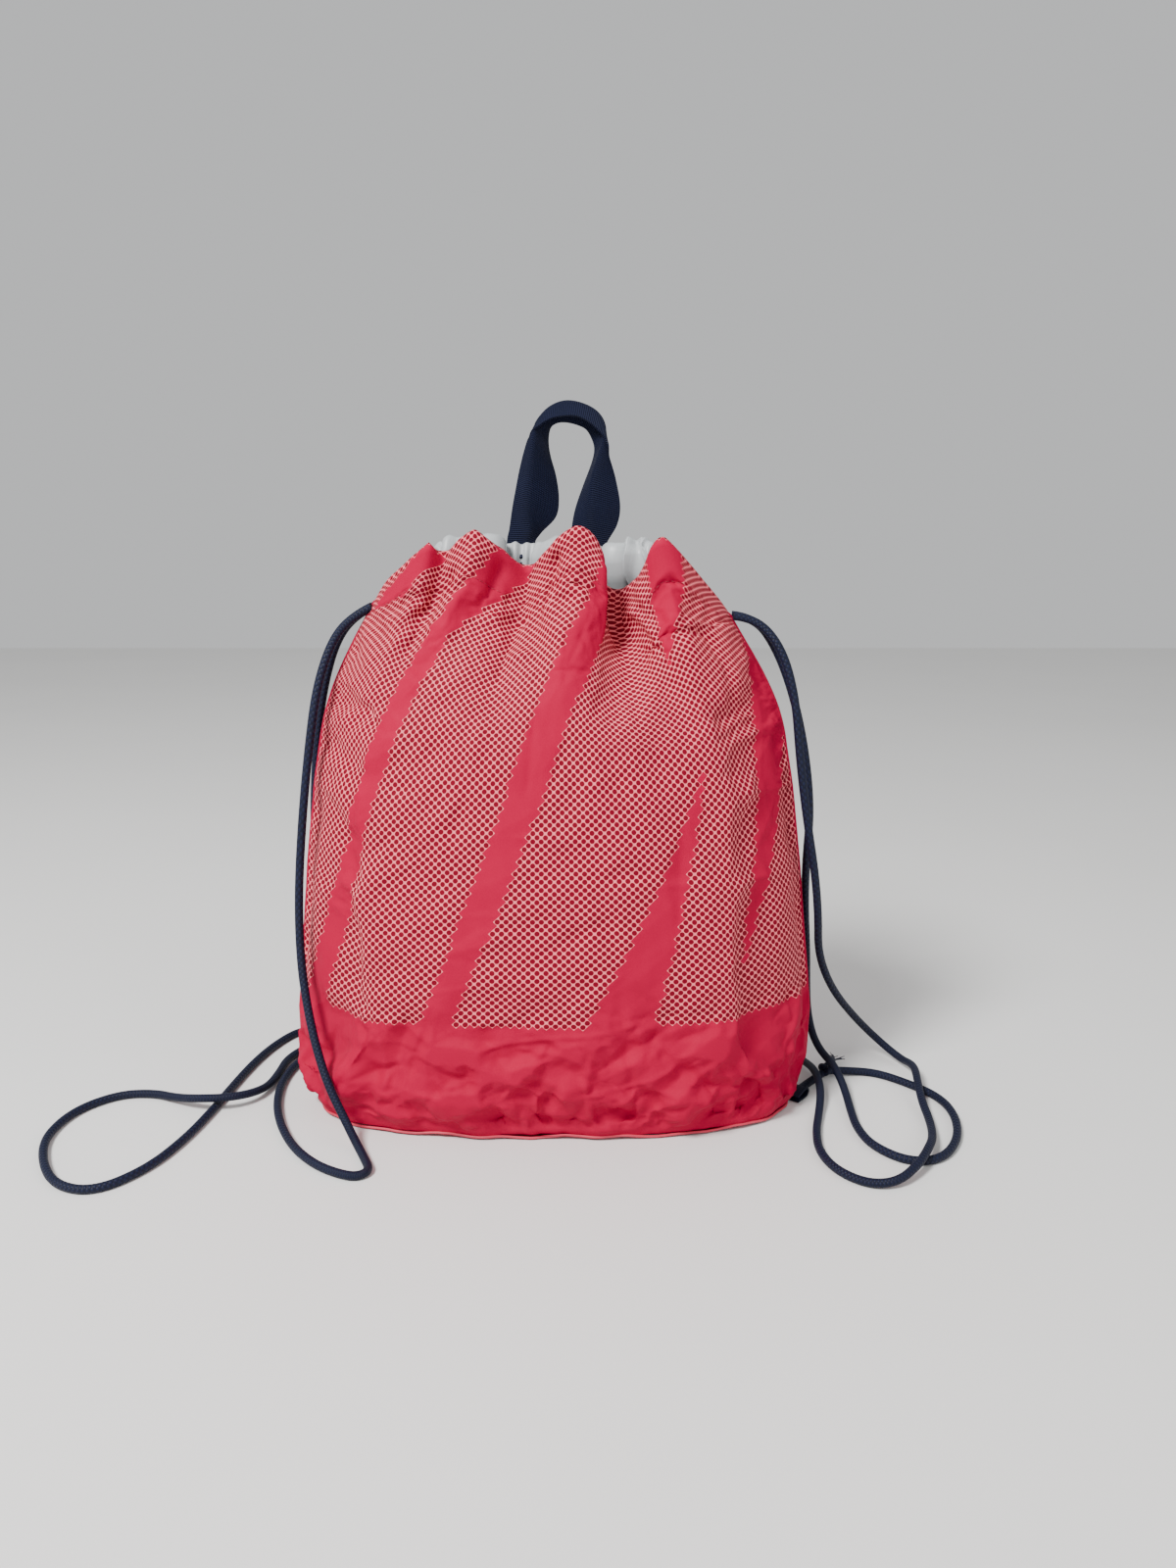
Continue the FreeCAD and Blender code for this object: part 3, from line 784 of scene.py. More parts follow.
def spread_sheet(name, rows_of_points, up_values, flip):
    """A sheet whose rows lie at the given heights of the flat cloth."""
    sheet = sheet_mesh(name, rows_of_points, flip)
    rows, columns = rows_of_points.shape[:2]
    flat_u = np.broadcast_to(np.linspace(-0.5, 0.5, columns) * CLOTH_W, (rows, columns))
    flat_v = np.broadcast_to(np.array(up_values)[:, None], (rows, columns))
    lay_flat(sheet, np.stack([flat_u, flat_v], axis=2))
    smooth_faces(sheet)
    return sheet


def replace_sheet(old, name, grid, flip, turn, steps):
    """Swaps a coarse sheet for the finished one, with its edge rolled over by the given turn."""
    bpy.data.objects.remove(old)
    rows = np.concatenate([grid, roll_over(grid, turn, steps)])
    up = np.concatenate([np.linspace(0, 1, len(grid)) * CLOTH_H,
                         CLOTH_H + ROLL_R * turn * np.arange(1, steps + 1) / steps])
    return spread_sheet(name, rows, up, flip)


def lining_sheet(name, rows, flip):
    return spread_sheet(name, rows, np.linspace(CLOTH_H, 0, len(rows)), flip)


front_cloth = replace_sheet(front_sheet, "front_panel_cloth", front_points, False, math.pi, ROLL_STEPS)
back_cloth = replace_sheet(back_sheet, "back_panel_cloth", back_points, True, 0.25, 2)
front_lining = lining_sheet("front_lining_satin", front_rows, True)
back_lining = lining_sheet("back_lining_satin", back_rows, False)
for made in (front_cloth, back_cloth, front_lining, back_lining):
    print(made.name, len(made.data.polygons), "faces")

# %% [markdown]
# ## Where the cords hide: inside the hem
#
# Each cord also crosses the hem twice, in front and behind, in and out of its folds. On the bag those
# stretches move with the hem and bend with its cloth; here they are simply made meshes. Each line is pushed
# clear of the outer cloth a few times, and evened out in between.

# %% The four stretches inside the hem
RUN_HEIGHTS = {"left": 364.0, "right": 358.0}     # on the flat cloth
RUN_POINTS = 80
HIDDEN_CORD = 3.8      # a braid is squeezed thinner where the hem gathers on it
HIDDEN_DEPTH = HIDDEN_CORD / 2 + 1.3
PUSHES = 3


def hem_run(grid, outer, side, height):
    """A line inside the hem's channel: the cloth's own line at that height, moved inwards."""
    row = round(height / CLOTH_H * (len(grid) - 1))
    n = normals_of(grid)[row]
    room = room_at_ends(np.linspace(-0.5, 0.5, grid.shape[1]) * CLOTH_W)
    line = grid[row] - n * ROLL_R * room[:, None]
    line = line[8:-8:5]
    for _ in range(PUSHES):
        line = keep_inside(smooth_through(line, RUN_POINTS), outer, side, HIDDEN_DEPTH)
    return line


hem_runs = {}
for side_name, height in RUN_HEIGHTS.items():
    for place, side, grid in (("front", -1, front_points), ("back", 1, back_points)):
        line = hem_run(grid, surfaces[place], side, height)
        run = cord_curve(f"{side_name}_{place}_hem_cord", line, HIDDEN_CORD)
        hem_runs[side_name, place] = as_mesh(run)
print("hem cords", [o.name for o in hem_runs.values()])

# %% [markdown]
# ## The base
#
# The base is an oval of the same cloth, flat where it stands and pulled up at its rim. A grid is squeezed
# to the oval, so its first and last columns shrink to a point; merging by distance cleans them up.

# %% The base
BASE_COLUMNS, BASE_ROWS = 97, 41
BASE_LOW = 0.3         # the cloth's own thickness keeps its middle off the floor
RIM_SHARE = 0.9        # from here outwards the rim is pulled up


def base_points():
    """The oval base as a grid from its front edge to its back edge, with the rim pulled up."""
    across = np.linspace(-1, 1, BASE_COLUMNS)
    front, back = half_section(SEAM_Z, across, -1), half_section(SEAM_Z, across, 1)
    t = np.linspace(0, 1, BASE_ROWS)[:, None, None]
    grid = front[None] * (1 - t) + back[None] * t
    width, depth, square = SECTIONS[1, 1:]
    wide, deep = np.abs(grid[:, :, 0]) / width, np.abs(grid[:, :, 1]) / depth
    out = (wide ** square + deep ** square) ** (1 / square)
    pulled = np.clip((out - RIM_SHARE) / (1 - RIM_SHARE), 0, 1)
    grid[:, :, 2] = BASE_LOW + (SEAM_Z - BASE_LOW) * pulled ** 1.6
    return grid


base_cloth = sheet_mesh("base_cloth", base_points(), True)
select_only(base_cloth)
bpy.ops.object.mode_set(mode="EDIT")
bpy.ops.mesh.select_all(action="SELECT")
bpy.ops.mesh.remove_doubles(threshold=0.0001)
bpy.ops.object.mode_set(mode="OBJECT")
bpy.ops.object.shade_smooth()
print("base", len(base_cloth.data.vertices), "points")

# %% [markdown]
# ### The piped edge
#
# The seam that joins the base to the panels is piped: a thin round edge that waves a little with the
# gathers. A polyline with a bevel is enough, because its points already lie close together.

# %% The piped edge round the base
PIPING_R = 0.8


def round_edge(name, line, radius, closed):
    """A thin round edge along a line of points in millimetres, made a mesh."""
    curve = bpy.data.curves.new(name, "CURVE")
    curve.dimensions = "3D"
    curve.bevel_depth = radius * MM
    curve.bevel_resolution = 2
    curve.use_fill_caps = not closed
    spline = curve.splines.new("POLY")
    spline.points.add(len(line) - 1)
    for point, place in zip(spline.points, line):
        point.co = (*(c * MM for c in place), 1.0)
    spline.use_cyclic_u = closed
    edge = bpy.data.objects.new(name, curve)
    bpy.context.collection.objects.link(edge)
    edge = as_mesh(edge)
    bpy.ops.object.shade_smooth()
    return edge


rim = np.concatenate([front_points[0, :-1:2], back_points[0, :0:-2]])
sway = np.arange(len(rim))
rim_out = rim.copy()
rim_out[:, :2] *= 1.004
rim_out[:, 2] = 2.2 + 0.5 * np.sin(sway / 5.3) + 0.4 * np.sin(sway / 2.1 + 1)
piping = round_edge("base_piping", rim_out, PIPING_R, True)
print("piping round the base:", round(length_of(np.vstack([rim_out, rim_out[:1]]))), "mm")

# %% [markdown]
# ### The side seams
#
# Each side seam is flat-felled: the two edges are folded into each other and sewn down, so it shows as a
# narrow raised strip. The strip is made from the last few columns of both sheets, so it follows the cloth.

# %% Flat-felled side seams, each a raised strip over the two sheets' edges
SEAM_ROWS_ACROSS = (3, 2, 1, 0)      # grid columns in from the edge, in front and behind
SEAM_HEIGHTS = (-0.2, 0.5, 0.7, 0.6, 0.7, 0.5, -0.2)


def side_seam(name, edge_column, inwards):
    """A strip from base to mouth, over the last few columns of both sheets."""
    front_cols = [front_points[:, edge_column + inwards * k] for k in SEAM_ROWS_ACROSS]
    back_cols = [back_points[:, edge_column + inwards * k] for k in reversed(SEAM_ROWS_ACROSS[:-1])]
    strip = np.stack(front_cols + back_cols, axis=1)[2:-2]
    n = normals_of(strip)
    side = np.sign(strip[:, 3, 0]).mean()
    n *= np.sign((n[:, 3, 0] * side).sum())
    strip = strip + n * np.array(SEAM_HEIGHTS)[None, :, None]
    made = sheet_mesh(name, strip, False)
    smooth_faces(made)
    return made


seams = {"left": side_seam("left_seam_strip", 0, 1), "right": side_seam("right_seam_strip", -1, -1)}
print("side seams", [o.name for o in seams.values()])

# %% [markdown]
# ## The handle
#
# The handle is one length of 25 mm webbing. Where a hand holds it, it is folded double; further down it
# opens into a shallow V, and its ends are sewn flat behind the hem. So each cross-section is three points,
# the inner edge, the crease and the outer edge, listed from one end to the other. A smooth surface
# is run through them, then Solidify gives the webbing its thickness.

# %% Cross-sections of the handle, in millimetres: inner edge, crease, outer edge
HANDLE = [
    ((-12, 0.0, 326), (-20, -0.4, 326), (-29, 0.0, 326)),
    ((-11.6, 0.6, 344), (-16.5, -1.2, 345), (-28, 0.4, 345.7)),
    ((-8.0, 2.5, 351), (-14.0, -2.6, 352.5), (-26.4, 0.8, 353.5)),
    ((1.2, 4.0, 360.5), (-15.4, -3.4, 364), (-24.2, 0.8, 366.5)),
    ((3.2, 4.6, 371), (-15.4, -4.2, 374), (-22.0, 0.6, 377)),
    ((1.6, 4.8, 384), (-14.3, -4.8, 385), (-19.6, 0.0, 388)),
    ((-1.8, 4.8, 396), (-12.6, -5.0, 397), (-16.6, -0.6, 399)),
    ((-3.0, 5.0, 405), (-11.6, -4.6, 407), (-13.0, -2.6, 408.5)),
    ((-1.8, 5.4, 412.4), (-9.4, -1.6, 415.6), (-8.2, -5.0, 412.6)),
    ((2.0, 5.6, 415.4), (-3.0, 0.0, 423.6), (-1.6, -5.4, 416.6)),
    ((7.4, 5.6, 416.0), (6.6, 0.0, 427.8), (6.0, -5.6, 418.4)),
    ((14.2, 5.6, 414.6), (16.4, 0.0, 426.9), (13.8, -5.6, 418.4)),
    ((19.8, 5.6, 412.0), (25.6, 0.0, 422.6), (20.6, -5.6, 415.6)),
    ((23.2, 5.4, 407.0), (30.6, -1.0, 415.8), (27.2, -5.6, 410.4)),
    ((25.2, 5.0, 400.5), (30.6, -3.4, 407.0), (32.2, -5.2, 404.0)),
    ((23.8, 4.6, 392.6), (27.6, -4.6, 396.0), (33.9, -3.0, 395.0)),
    ((18.8, 4.4, 379.6), (23.8, -4.8, 383.0), (37.4, -0.6, 383.0)),
    ((13.9, 4.0, 366.0), (22.3, -4.2, 368.0), (40.2, 0.6, 367.5)),
    ((11.6, 2.4, 355.5), (21.9, -2.8, 356.5), (38.4, 1.0, 356.0)),
    ((10.4, 0.8, 344.5), (21.6, -1.2, 344.5), (31.4, 0.6, 343.0)),
    ((10.0, 0.0, 326), (20.0, -0.4, 326), (29.0, 0.0, 326)),
]
WEBBING_WIDTH, WEBBING_THICKNESS = 25.0, 1.3
HANDLE_ROWS = 190


def handle_grid():
    """A fine grid along the handle: smooth lengthways, with a softly rounded crease."""
    inner, crease, outer = [smooth_through([s[k] for s in HANDLE], HANDLE_ROWS) for k in range(3)]
    across = []
    for share in (0, 0.25, 0.5, 0.72, 0.88):
        across.append(inner * (1 - share) + crease * share)
    across.append(crease * 0.94 + (inner + outer) * 0.03)
    for share in (0.12, 0.28, 0.5, 0.75, 1):
        across.append(crease * (1 - share) + outer * share)
    grid = np.stack(across, axis=1)
    grid[:, :, 1] += HANDLE_PLANE
    return grid


def thicken(obj, thickness, offset=0.0):
    """Gives a sheet its thickness, with Solidify applied."""
    select_only(obj)
    solid = obj.modifiers.new("thickness", "SOLIDIFY")
    solid.thickness = thickness * MM
    solid.offset = offset
    bpy.ops.object.modifier_apply(modifier=solid.name)
    bpy.ops.object.shade_smooth_by_angle(angle=math.radians(50))


def strip_uv(sheet, width, length, rows, columns):
    """A UV map in metres: across the strip, then along it."""
    places = np.meshgrid(np.linspace(0, width, columns), np.linspace(0, length, rows))
    lay_flat(sheet, np.stack(places, axis=2))


handle_points = handle_grid()
HANDLE_LENGTH = float(np.linalg.norm(np.diff(handle_points[:, 5], axis=0), axis=1).sum())
handle = sheet_mesh("handle_strap", handle_points, False)
strip_uv(handle, WEBBING_WIDTH, HANDLE_LENGTH, *handle_points.shape[:2])
thicken(handle, WEBBING_THICKNESS)
print("handle strap", round(HANDLE_LENGTH), "mm long")

# %% [markdown]
# ## The bottom corners: tabs, ties, knots and frayed ends
#
# In each bottom corner a folded bit of webbing is caught in the seam. A short tie of cord goes through it to
# an overhand knot, and the knot's end is frayed. The knot is a trefoil, the simplest closed curve that
# really is knotted, drawn tight. The frayed end is a spray of thin fibres, each bent a little differently.

# %% Ties, knots and frayed ends
KNOTS = {"left": (-143, 66, 6.4), "right": (178, 23, 6.4)}
TIES = {
    "left": [(-139.5, 62, 5), (-137, 54, 3.6), (-139, 45, 3.4), (-143.5, 37.5, 3.8)],
    "right": [(174.5, 20, 4.6), (168.5, 15, 3.2), (162, 8, 2.8), (156.5, 0.5, 3.2)],
}
KNOT_SIZE, KNOT_CORD, KNOT_POINTS = 1.25, 3.9, 36
FIBRES, FIBRE_R = 16, 0.28
STUB_CORD = 4.0


def trefoil(middle):
    """The closed line of a trefoil knot round a middle point."""
    points = []
    for i in range(KNOT_POINTS):
        t = 2 * math.pi * i / KNOT_POINTS
        points.append((middle[0] + KNOT_SIZE * (math.sin(t) + 2 * math.sin(2 * t)),
                       middle[1] + KNOT_SIZE * (math.cos(t) - 2 * math.cos(2 * t)),
                       middle[2] - KNOT_SIZE * 1.5 * math.sin(3 * t)))
    return points


def frayed_end(name, root):
    """The end of a cord: a short stub, and fibres that fan out of it."""
    random = np.random.default_rng(len(name))
    stub = [root, tuple(np.add(root, (3, 6, 0.4))), tuple(np.add(root, (6.5, 11, 0.2)))]
    pieces = [as_mesh(cord_curve(name, stub, STUB_CORD))]
    for _ in range(FIBRES):
        side = random.uniform(-0.5, 0.5)
        lift = random.uniform(-0.1, 0.25)
        reach = random.uniform(5, 9)
        start = np.add(stub[-1], random.uniform(-1.2, 1.2, 3) * (1, 1, 0.7))
        heading = np.array([0.5 + side, 0.85 - side * 0.5, lift])
        droop = np.array([side * 2, 0, -1.2])
        line = [start, start + heading * reach * 0.5, start + heading * reach + droop]
        line = [(x, y, max(z, FIBRE_R + 0.1)) for x, y, z in line]
        pieces.append(as_mesh(cord_curve("fibre", line, FIBRE_R * 2, sides=0)))
    select_only(*pieces)
    bpy.ops.object.join()
    bpy.ops.object.shade_smooth()
    return pieces[0]


knots, ties, ends = {}, {}, {}
for side_name, middle in KNOTS.items():
    lump = cord_curve(f"{side_name}_overhand_knot", trefoil(middle), KNOT_CORD)
    lump.data.splines[0].use_endpoint_u = False
    lump.data.splines[0].use_cyclic_u = True
    knots[side_name] = as_mesh(lump)
    ties[side_name] = cord_curve(f"{side_name}_tie", TIES[side_name])
    ends[side_name] = frayed_end(f"{side_name}_frayed_end", (middle[0] + 1, middle[1] + 5, 5.0))
print("knots, ties and ends", [o.name for group in (knots, ties, ends) for o in group.values()])

# %% [markdown]
# ### The webbing tabs
#
# A tab is a short strip of webbing folded back on itself, with the tie in the fold. Its side view is one
# curve, swept over its width and turned to the corner that it belongs to.

# %% The webbing tabs
TABS = {"left": ((-144, 34), 118.0), "right": ((152.5, -3.5), 52.0)}      # where, and turned by how much
TAB_WIDTH, TAB_CUT, TAB_THICKNESS = 13.0, 32.0, 1.2
TAB_ROWS, TAB_COLUMNS = 40, 7
TAB_FOLD = [
    (-7, 1.1), (-2, 1.0), (2.5, 1.0), (5.2, 1.6), (6.6, 3.5), (5.2, 5.4), (2.5, 6.0), (-2, 5.2), (-7, 4.2),
]


def corner_tab(name, middle, angle):
    """A strip of webbing folded back on itself round the tie."""
    line = smooth_through([(x, 0, z) for x, z in TAB_FOLD], TAB_ROWS)
    grid = np.repeat(line[:, None], TAB_COLUMNS, axis=1)
    grid[:, :, 1] = np.linspace(-TAB_WIDTH / 2, TAB_WIDTH / 2, TAB_COLUMNS)
    a = math.radians(angle)
    turned = grid.copy()
    turned[:, :, 0] = middle[0] + grid[:, :, 0] * math.cos(a) - grid[:, :, 1] * math.sin(a)
    turned[:, :, 1] = middle[1] + grid[:, :, 0] * math.sin(a) + grid[:, :, 1] * math.cos(a)
    tab = sheet_mesh(name, turned, False)
    strip_uv(tab, TAB_WIDTH, TAB_CUT, *turned.shape[:2])
    thicken(tab, TAB_THICKNESS)
    return tab


tabs = {side_name: corner_tab(f"{side_name}_folded_tab", *facts) for side_name, facts in TABS.items()}
print("tabs", [o.name for o in tabs.values()])

# %% [markdown]
# ## Stitching
#
# Stitches are small, and there are hundreds, so each is a short fat bar of a few faces. One function walks
# along a line and lays a stitch and a gap by turns.

# %% Rows of stitches
STITCH, STITCH_GAP, THREAD_R = 2.4, 1.0, 0.22
SIDES = 6
BAR = ((0, 0.35), (0.18, 1), (0.82, 1), (1, 0.35))      # places along a stitch, and how thick it is there


def stitches(name, line, lift):
    """Stitches along a line of points and outward directions, joined as one piece."""
    along = np.concatenate([[0], np.cumsum(np.linalg.norm(np.diff(line, axis=0), axis=1))])
    vertices, faces = [], []
    place = 0.5
    while place + STITCH < along[-1]:
        ends_of = [np.array([np.interp(p, along, line[:, k] + lift[:, k]) for k in range(3)])
                   for p in (place, place + STITCH)]
        run = ends_of[1] - ends_of[0]
        run /= np.linalg.norm(run) + 1e-9
        up = np.array([np.interp(place, along, lift[:, k]) for k in range(3)])
        up -= run * up.dot(run)
        up /= np.linalg.norm(up) + 1e-9
        aside = np.cross(run, up)
        first = len(vertices)
        for share, swell in BAR:
            middle = ends_of[0] * (1 - share) + ends_of[1] * share
            for k in range(SIDES):
                a = 2 * math.pi * k / SIDES
                out = (up * math.cos(a) + aside * math.sin(a)) * THREAD_R * swell
                vertices.append((middle + out) * MM)
        for ring in range(len(BAR) - 1):
            for k in range(SIDES):
                a = first + ring * SIDES + k
                b = first + ring * SIDES + (k + 1) % SIDES
                faces.append((a, b, b + SIDES, a + SIDES))
        faces.append(tuple(first + k for k in reversed(range(SIDES))))
        faces.append(tuple(first + (len(BAR) - 1) * SIDES + k for k in range(SIDES)))
        place += STITCH + STITCH_GAP
    mesh = bpy.data.meshes.new(name)
    mesh.from_pydata([tuple(v) for v in vertices], [], faces)
    obj = bpy.data.objects.new(name, mesh)
    bpy.context.collection.objects.link(obj)
    smooth_faces(obj)
    select_only(obj)
    bpy.ops.object.mode_set(mode="EDIT")
    bpy.ops.mesh.select_all(action="SELECT")
    bpy.ops.mesh.normals_make_consistent(inside=False)
    bpy.ops.object.mode_set(mode="OBJECT")
    return obj


hem_row = round(HEM_LINE / CLOTH_H * (len(front_points) - 1))
hem_stitches = {}
for place, grid in (("front", front_points), ("back", back_points)):
    lift = normals_of(grid)[hem_row] * 0.25
    hem_stitches[place] = stitches(f"{place}_hem_stitching", grid[hem_row, 4:-4], lift[4:-4])
print("hem stitches in front:", len(hem_stitches["front"].data.polygons) // (3 * SIDES + 2))

# %% [markdown]
# ### Bartacks
#
# A bartack is a dense zigzag that holds a strap down. Two rows of it cross each sewn end of the handle, on
# the side away from the bag.

# %% Zigzag tacking over the handle's ends
TACK_ROWS = (328.5, 338.5)
TACK_POINTS, TACK_SWING, TACK_R = 23, 0.9, 0.3


def zigzag(name, leg_x, half, z):
    """One row of tacking across the strap, round the height z."""
    y = HANDLE_PLANE + 0.9
    line = [(leg_x - half + i * half / 11, y, z + (TACK_SWING if i % 2 else -TACK_SWING))
            for i in range(TACK_POINTS)]
    return round_edge(name, line, TACK_R, False)


def bartack(name, leg_x, half):
    lower = zigzag(name, leg_x, half, TACK_ROWS[0])
    upper = zigzag(name + "_upper", leg_x, half, TACK_ROWS[1])
    select_only(lower, upper)
    bpy.ops.object.join()
    return lower


bartacks = {
    "left": bartack("left_bartack_thread", -20.4, 7.0),
    "right": bartack("right_bartack_thread", 19.6, 8.0),
}
print("bartacks", [o.name for o in bartacks.values()])

# %% [markdown]
# ## Materials
#
# A shader is maths on colours and places. Written node by node it is long and hard to read, so one small
# class wraps a socket and gives it Python's own operators: an expression on such values adds the Math
# nodes that it needs. Any other node comes from one method, which takes its type, its settings and its
# inputs.

# %% A value in a shader, and the finish that it belongs to
class Value:
    """One output socket, with arithmetic."""

    def __init__(self, finish, socket):
        self.finish, self.socket = finish, socket

    def maths(self, operation, *others):
        return self.finish.node("ShaderNodeMath", {"operation": operation},
                                {i: v for i, v in enumerate((self, *others))})

    def __add__(self, other):
        return self.maths("ADD", other)

    def __mul__(self, other):
        return self.maths("MULTIPLY", other)

    def __sub__(self, other):
        return self.maths("SUBTRACT", other)

    def __truediv__(self, other):
        return self.maths("DIVIDE", other)

    def __rsub__(self, other):
        return (self * -1) + other

    __radd__ = __add__
    __rmul__ = __mul__


class Finish:
    """A material being built: its nodes, and its surface shader."""

    def __init__(self, name, **surface):
        self.material = bpy.data.materials.new(name)
        self.material.use_nodes = True
        self.tree = self.material.node_tree
        self.shader = self.tree.nodes["Principled BSDF"]
        for socket, value in surface.items():
            self.shader.inputs[socket.replace("_", " ")].default_value = value

    def node(self, kind, settings=None, inputs=None, output=0):
        made = self.tree.nodes.new(kind)
        for name, value in (settings or {}).items():
            setattr(made, name, value)
        for key, value in (inputs or {}).items():
            if isinstance(value, Value):
                self.tree.links.new(value.socket, made.inputs[key])
            else:
                made.inputs[key].default_value = value
        return Value(self, made.outputs[output])

    def mix(self, share, a, b):
        """A colour between a and b."""
        return self.node("ShaderNodeMix", {"data_type": "RGBA"}, {0: share, 6: a, 7: b}, output=2)

    def noise(self, place, scale, detail=3.0, rough=0.55):
        inputs = {"Vector": place, "Scale": scale, "Detail": detail, "Roughness": rough}
        return self.node("ShaderNodeTexNoise", {}, inputs)

    def place_on(self, output):
        """Where a point lies: "UV" for the flat cloth, "Object" for the piece itself."""
        return self.node("ShaderNodeTexCoord", output=output)

    def uv_parts(self):
        """The two UV coordinates of a point."""
        uv = self.place_on("UV")
        return [self.node("ShaderNodeSeparateXYZ", {}, {0: uv}, output=axis) for axis in ("X", "Y")]

    def flat_place(self):
        """Where a point lies on the flat cloth: across and along, in millimetres."""
        return [part * 1000 for part in self.uv_parts()]

    def wear(self, **links):
        """Feeds values into the surface shader."""
        for socket, value in links.items():
            self.tree.links.new(value.socket, self.shader.inputs[socket.replace("_", " ")])

    def bump(self, height, distance, strength=1.0):
        inputs = {"Height": height, "Distance": distance * MM, "Strength": strength}
        self.wear(Normal=self.node("ShaderNodeBump", {}, inputs))


def linear(part):
    """One part of a colour, from its everyday 0 to 255 number."""
    share = part / 255
    return share / 12.92 if share < 0.04 else ((share + 0.055) / 1.055) ** 2.4


def colour(red, green, blue):
    return (linear(red), linear(green), linear(blue), 1)


print("a mid grey of 128 is", round(linear(128), 3), "in linear light")

# %% [markdown]
# ## The printed cloth
#
# The cloth is crimson polyester, printed with a pale net. The net's holes are round dots in a diamond
# lattice, so one pair of slanted axes finds the nearest dot, and the distance from its centre says whether
# a point is thread or hole. Plain crimson wedges lean across the net. Whether a cell belongs to a wedge is
# decided at the cell's own centre, so the edges of the net come out scalloped, as on the real print. A
# wedge is what lies on the left of every one of its sides.

# %% Plain wedges in the print: the corners of each on the flat cloth, counter-clockwise
NET_ACROSS, NET_UP = 4.9, 4.6
DOT_R = 1.5

WEDGES = {
    "long band, below": [(-160, 66), (-142, 66), (-81, 313), (-98, 317)],
    "long band, above": [(-98, 312), (-81, 308), (-34, 376), (-66, 376)],
    "middle band, below": [(-75, 66), (-58, 66), (40, 325), (12, 325)],
    "middle band, above": [(11, 320), (38, 320), (50, 376), (24, 376)],
    "low spike": [(14, 66), (54, 66), (98, 226)],
    "side wedge": [(112, 98), (178, 238), (181, 330), (168, 330)],
    "top wedge": [(88, 286), (116, 334), (128, 377), (96, 377)],
    "left top patch": [(-164, 346), (-134, 342), (-108, 372), (-128, 377), (-160, 362)],
}

print(len(WEDGES), "plain wedges in the net")

# %% [markdown]
# ### Maths for the print
#
# Two small pieces of shader maths do the work: the height of a plain weave, and the side of a line that a
# point lies on.

# %% A weave, and the left side of a line
CRIMSON = colour(176, 0, 56)
CRIMSON_DEEP = colour(132, 0, 37)
NET = colour(240, 118, 126)
WEAVE = 0.55           # millimetres from thread to thread


def weave(across, along, pitch):
    """The height of a plain weave: threads over and under by turns, from 0 to 1."""
    step = math.pi / pitch
    warp = (across * step).maths("SINE").maths("ABSOLUTE")
    weft = (along * step).maths("SINE").maths("ABSOLUTE")
    turn = ((across * step * 0.5).maths("SINE") * (along * step * 0.5).maths("SINE")).maths("SIGN")
    over = turn * 0.5 + 0.5
    return warp * over + weft * (1 - over)


def left_of(a_corner, next_corner, across, along):
    """Positive on the left of the line from one corner to the next, in millimetres."""
    (u0, v0), (u1, v1) = a_corner, next_corner
    reach = math.hypot(u1 - u0, v1 - v0)
    a, b = -(v1 - v0) / reach, (u1 - u0) / reach
    return across * a + along * b + (-a * u0 - b * v0)


def shell(name):
    """A finish of the crimson cloth without its print, and the values that the print is mixed from."""
    finish = Finish(name, Roughness=0.62, Specular_IOR_Level=0.08)
    patchy = finish.noise(finish.place_on("Object"), 26.0)
    threads = finish.noise(finish.place_on("UV"), 900.0, detail=1.0)
    crimson = finish.mix(patchy * 0.35 + threads * 0.15, CRIMSON, CRIMSON_DEEP)
    finish.wear(Base_Color=crimson)
    finish.wear(Roughness=0.56 + patchy * 0.14)
    return finish, patchy, crimson


def crimson_cloth():
    finish, patchy, _ = shell("crimson_shell_cloth")
    finish.bump(weave(*finish.flat_place(), WEAVE) + patchy * 0.4, 0.06, 0.8)
    return finish.material


crimson = crimson_cloth()
print("made", crimson.name)

# %% [markdown]
# ### The net
#
# Both axes are slanted so that every dot's centre is a whole number on each of them. Rounding gives the
# nearest centre, and from there everything is a distance or a comparison.

# %% The printed cloth
def printed_cloth():
    finish, patchy, crimson = shell("printed_shell_cloth")
    across, along = finish.flat_place()
    near_a = (across / NET_ACROSS + along / NET_UP + 0.5).maths("FLOOR")
    near_b = (across / NET_ACROSS - along / NET_UP + 0.5).maths("FLOOR")
    cell_u = (near_a + near_b) * (NET_ACROSS / 2)
    cell_v = (near_a - near_b) * (NET_UP / 2)
    off_u = across - cell_u
    off_v = along - cell_v
    distance = (off_u * off_u + off_v * off_v).maths("SQRT")
    softened = (distance - DOT_R) * 5.0 + 0.5
    net = softened.maths("MINIMUM", 1.0).maths("MAXIMUM", 0.0)
    plain = (BAND_TOP - cell_v).maths("GREATER_THAN", 0.0)
    for corners in WEDGES.values():
        inside = 1.0
        for a_corner, next_corner in zip(corners, corners[1:] + corners[:1]):
            inside = left_of(a_corner, next_corner, cell_u, cell_v).maths("GREATER_THAN", 0.0) * inside
        plain = plain.maths("MAXIMUM", inside)
    ink = net * (1 - plain)
    dot = finish.mix(patchy * 0.4, colour(112, 3, 26), CRIMSON_DEEP)
    ground = finish.mix(1 - plain, crimson, dot)
    finish.wear(Base_Color=finish.mix(ink, ground, NET))
    finish.bump(weave(across, along, WEAVE) + patchy * 0.4 + ink * 0.3, 0.06, 0.8)
    return finish.material


printed = printed_cloth()
print("made", printed.name, "with", len(printed.node_tree.nodes), "nodes")
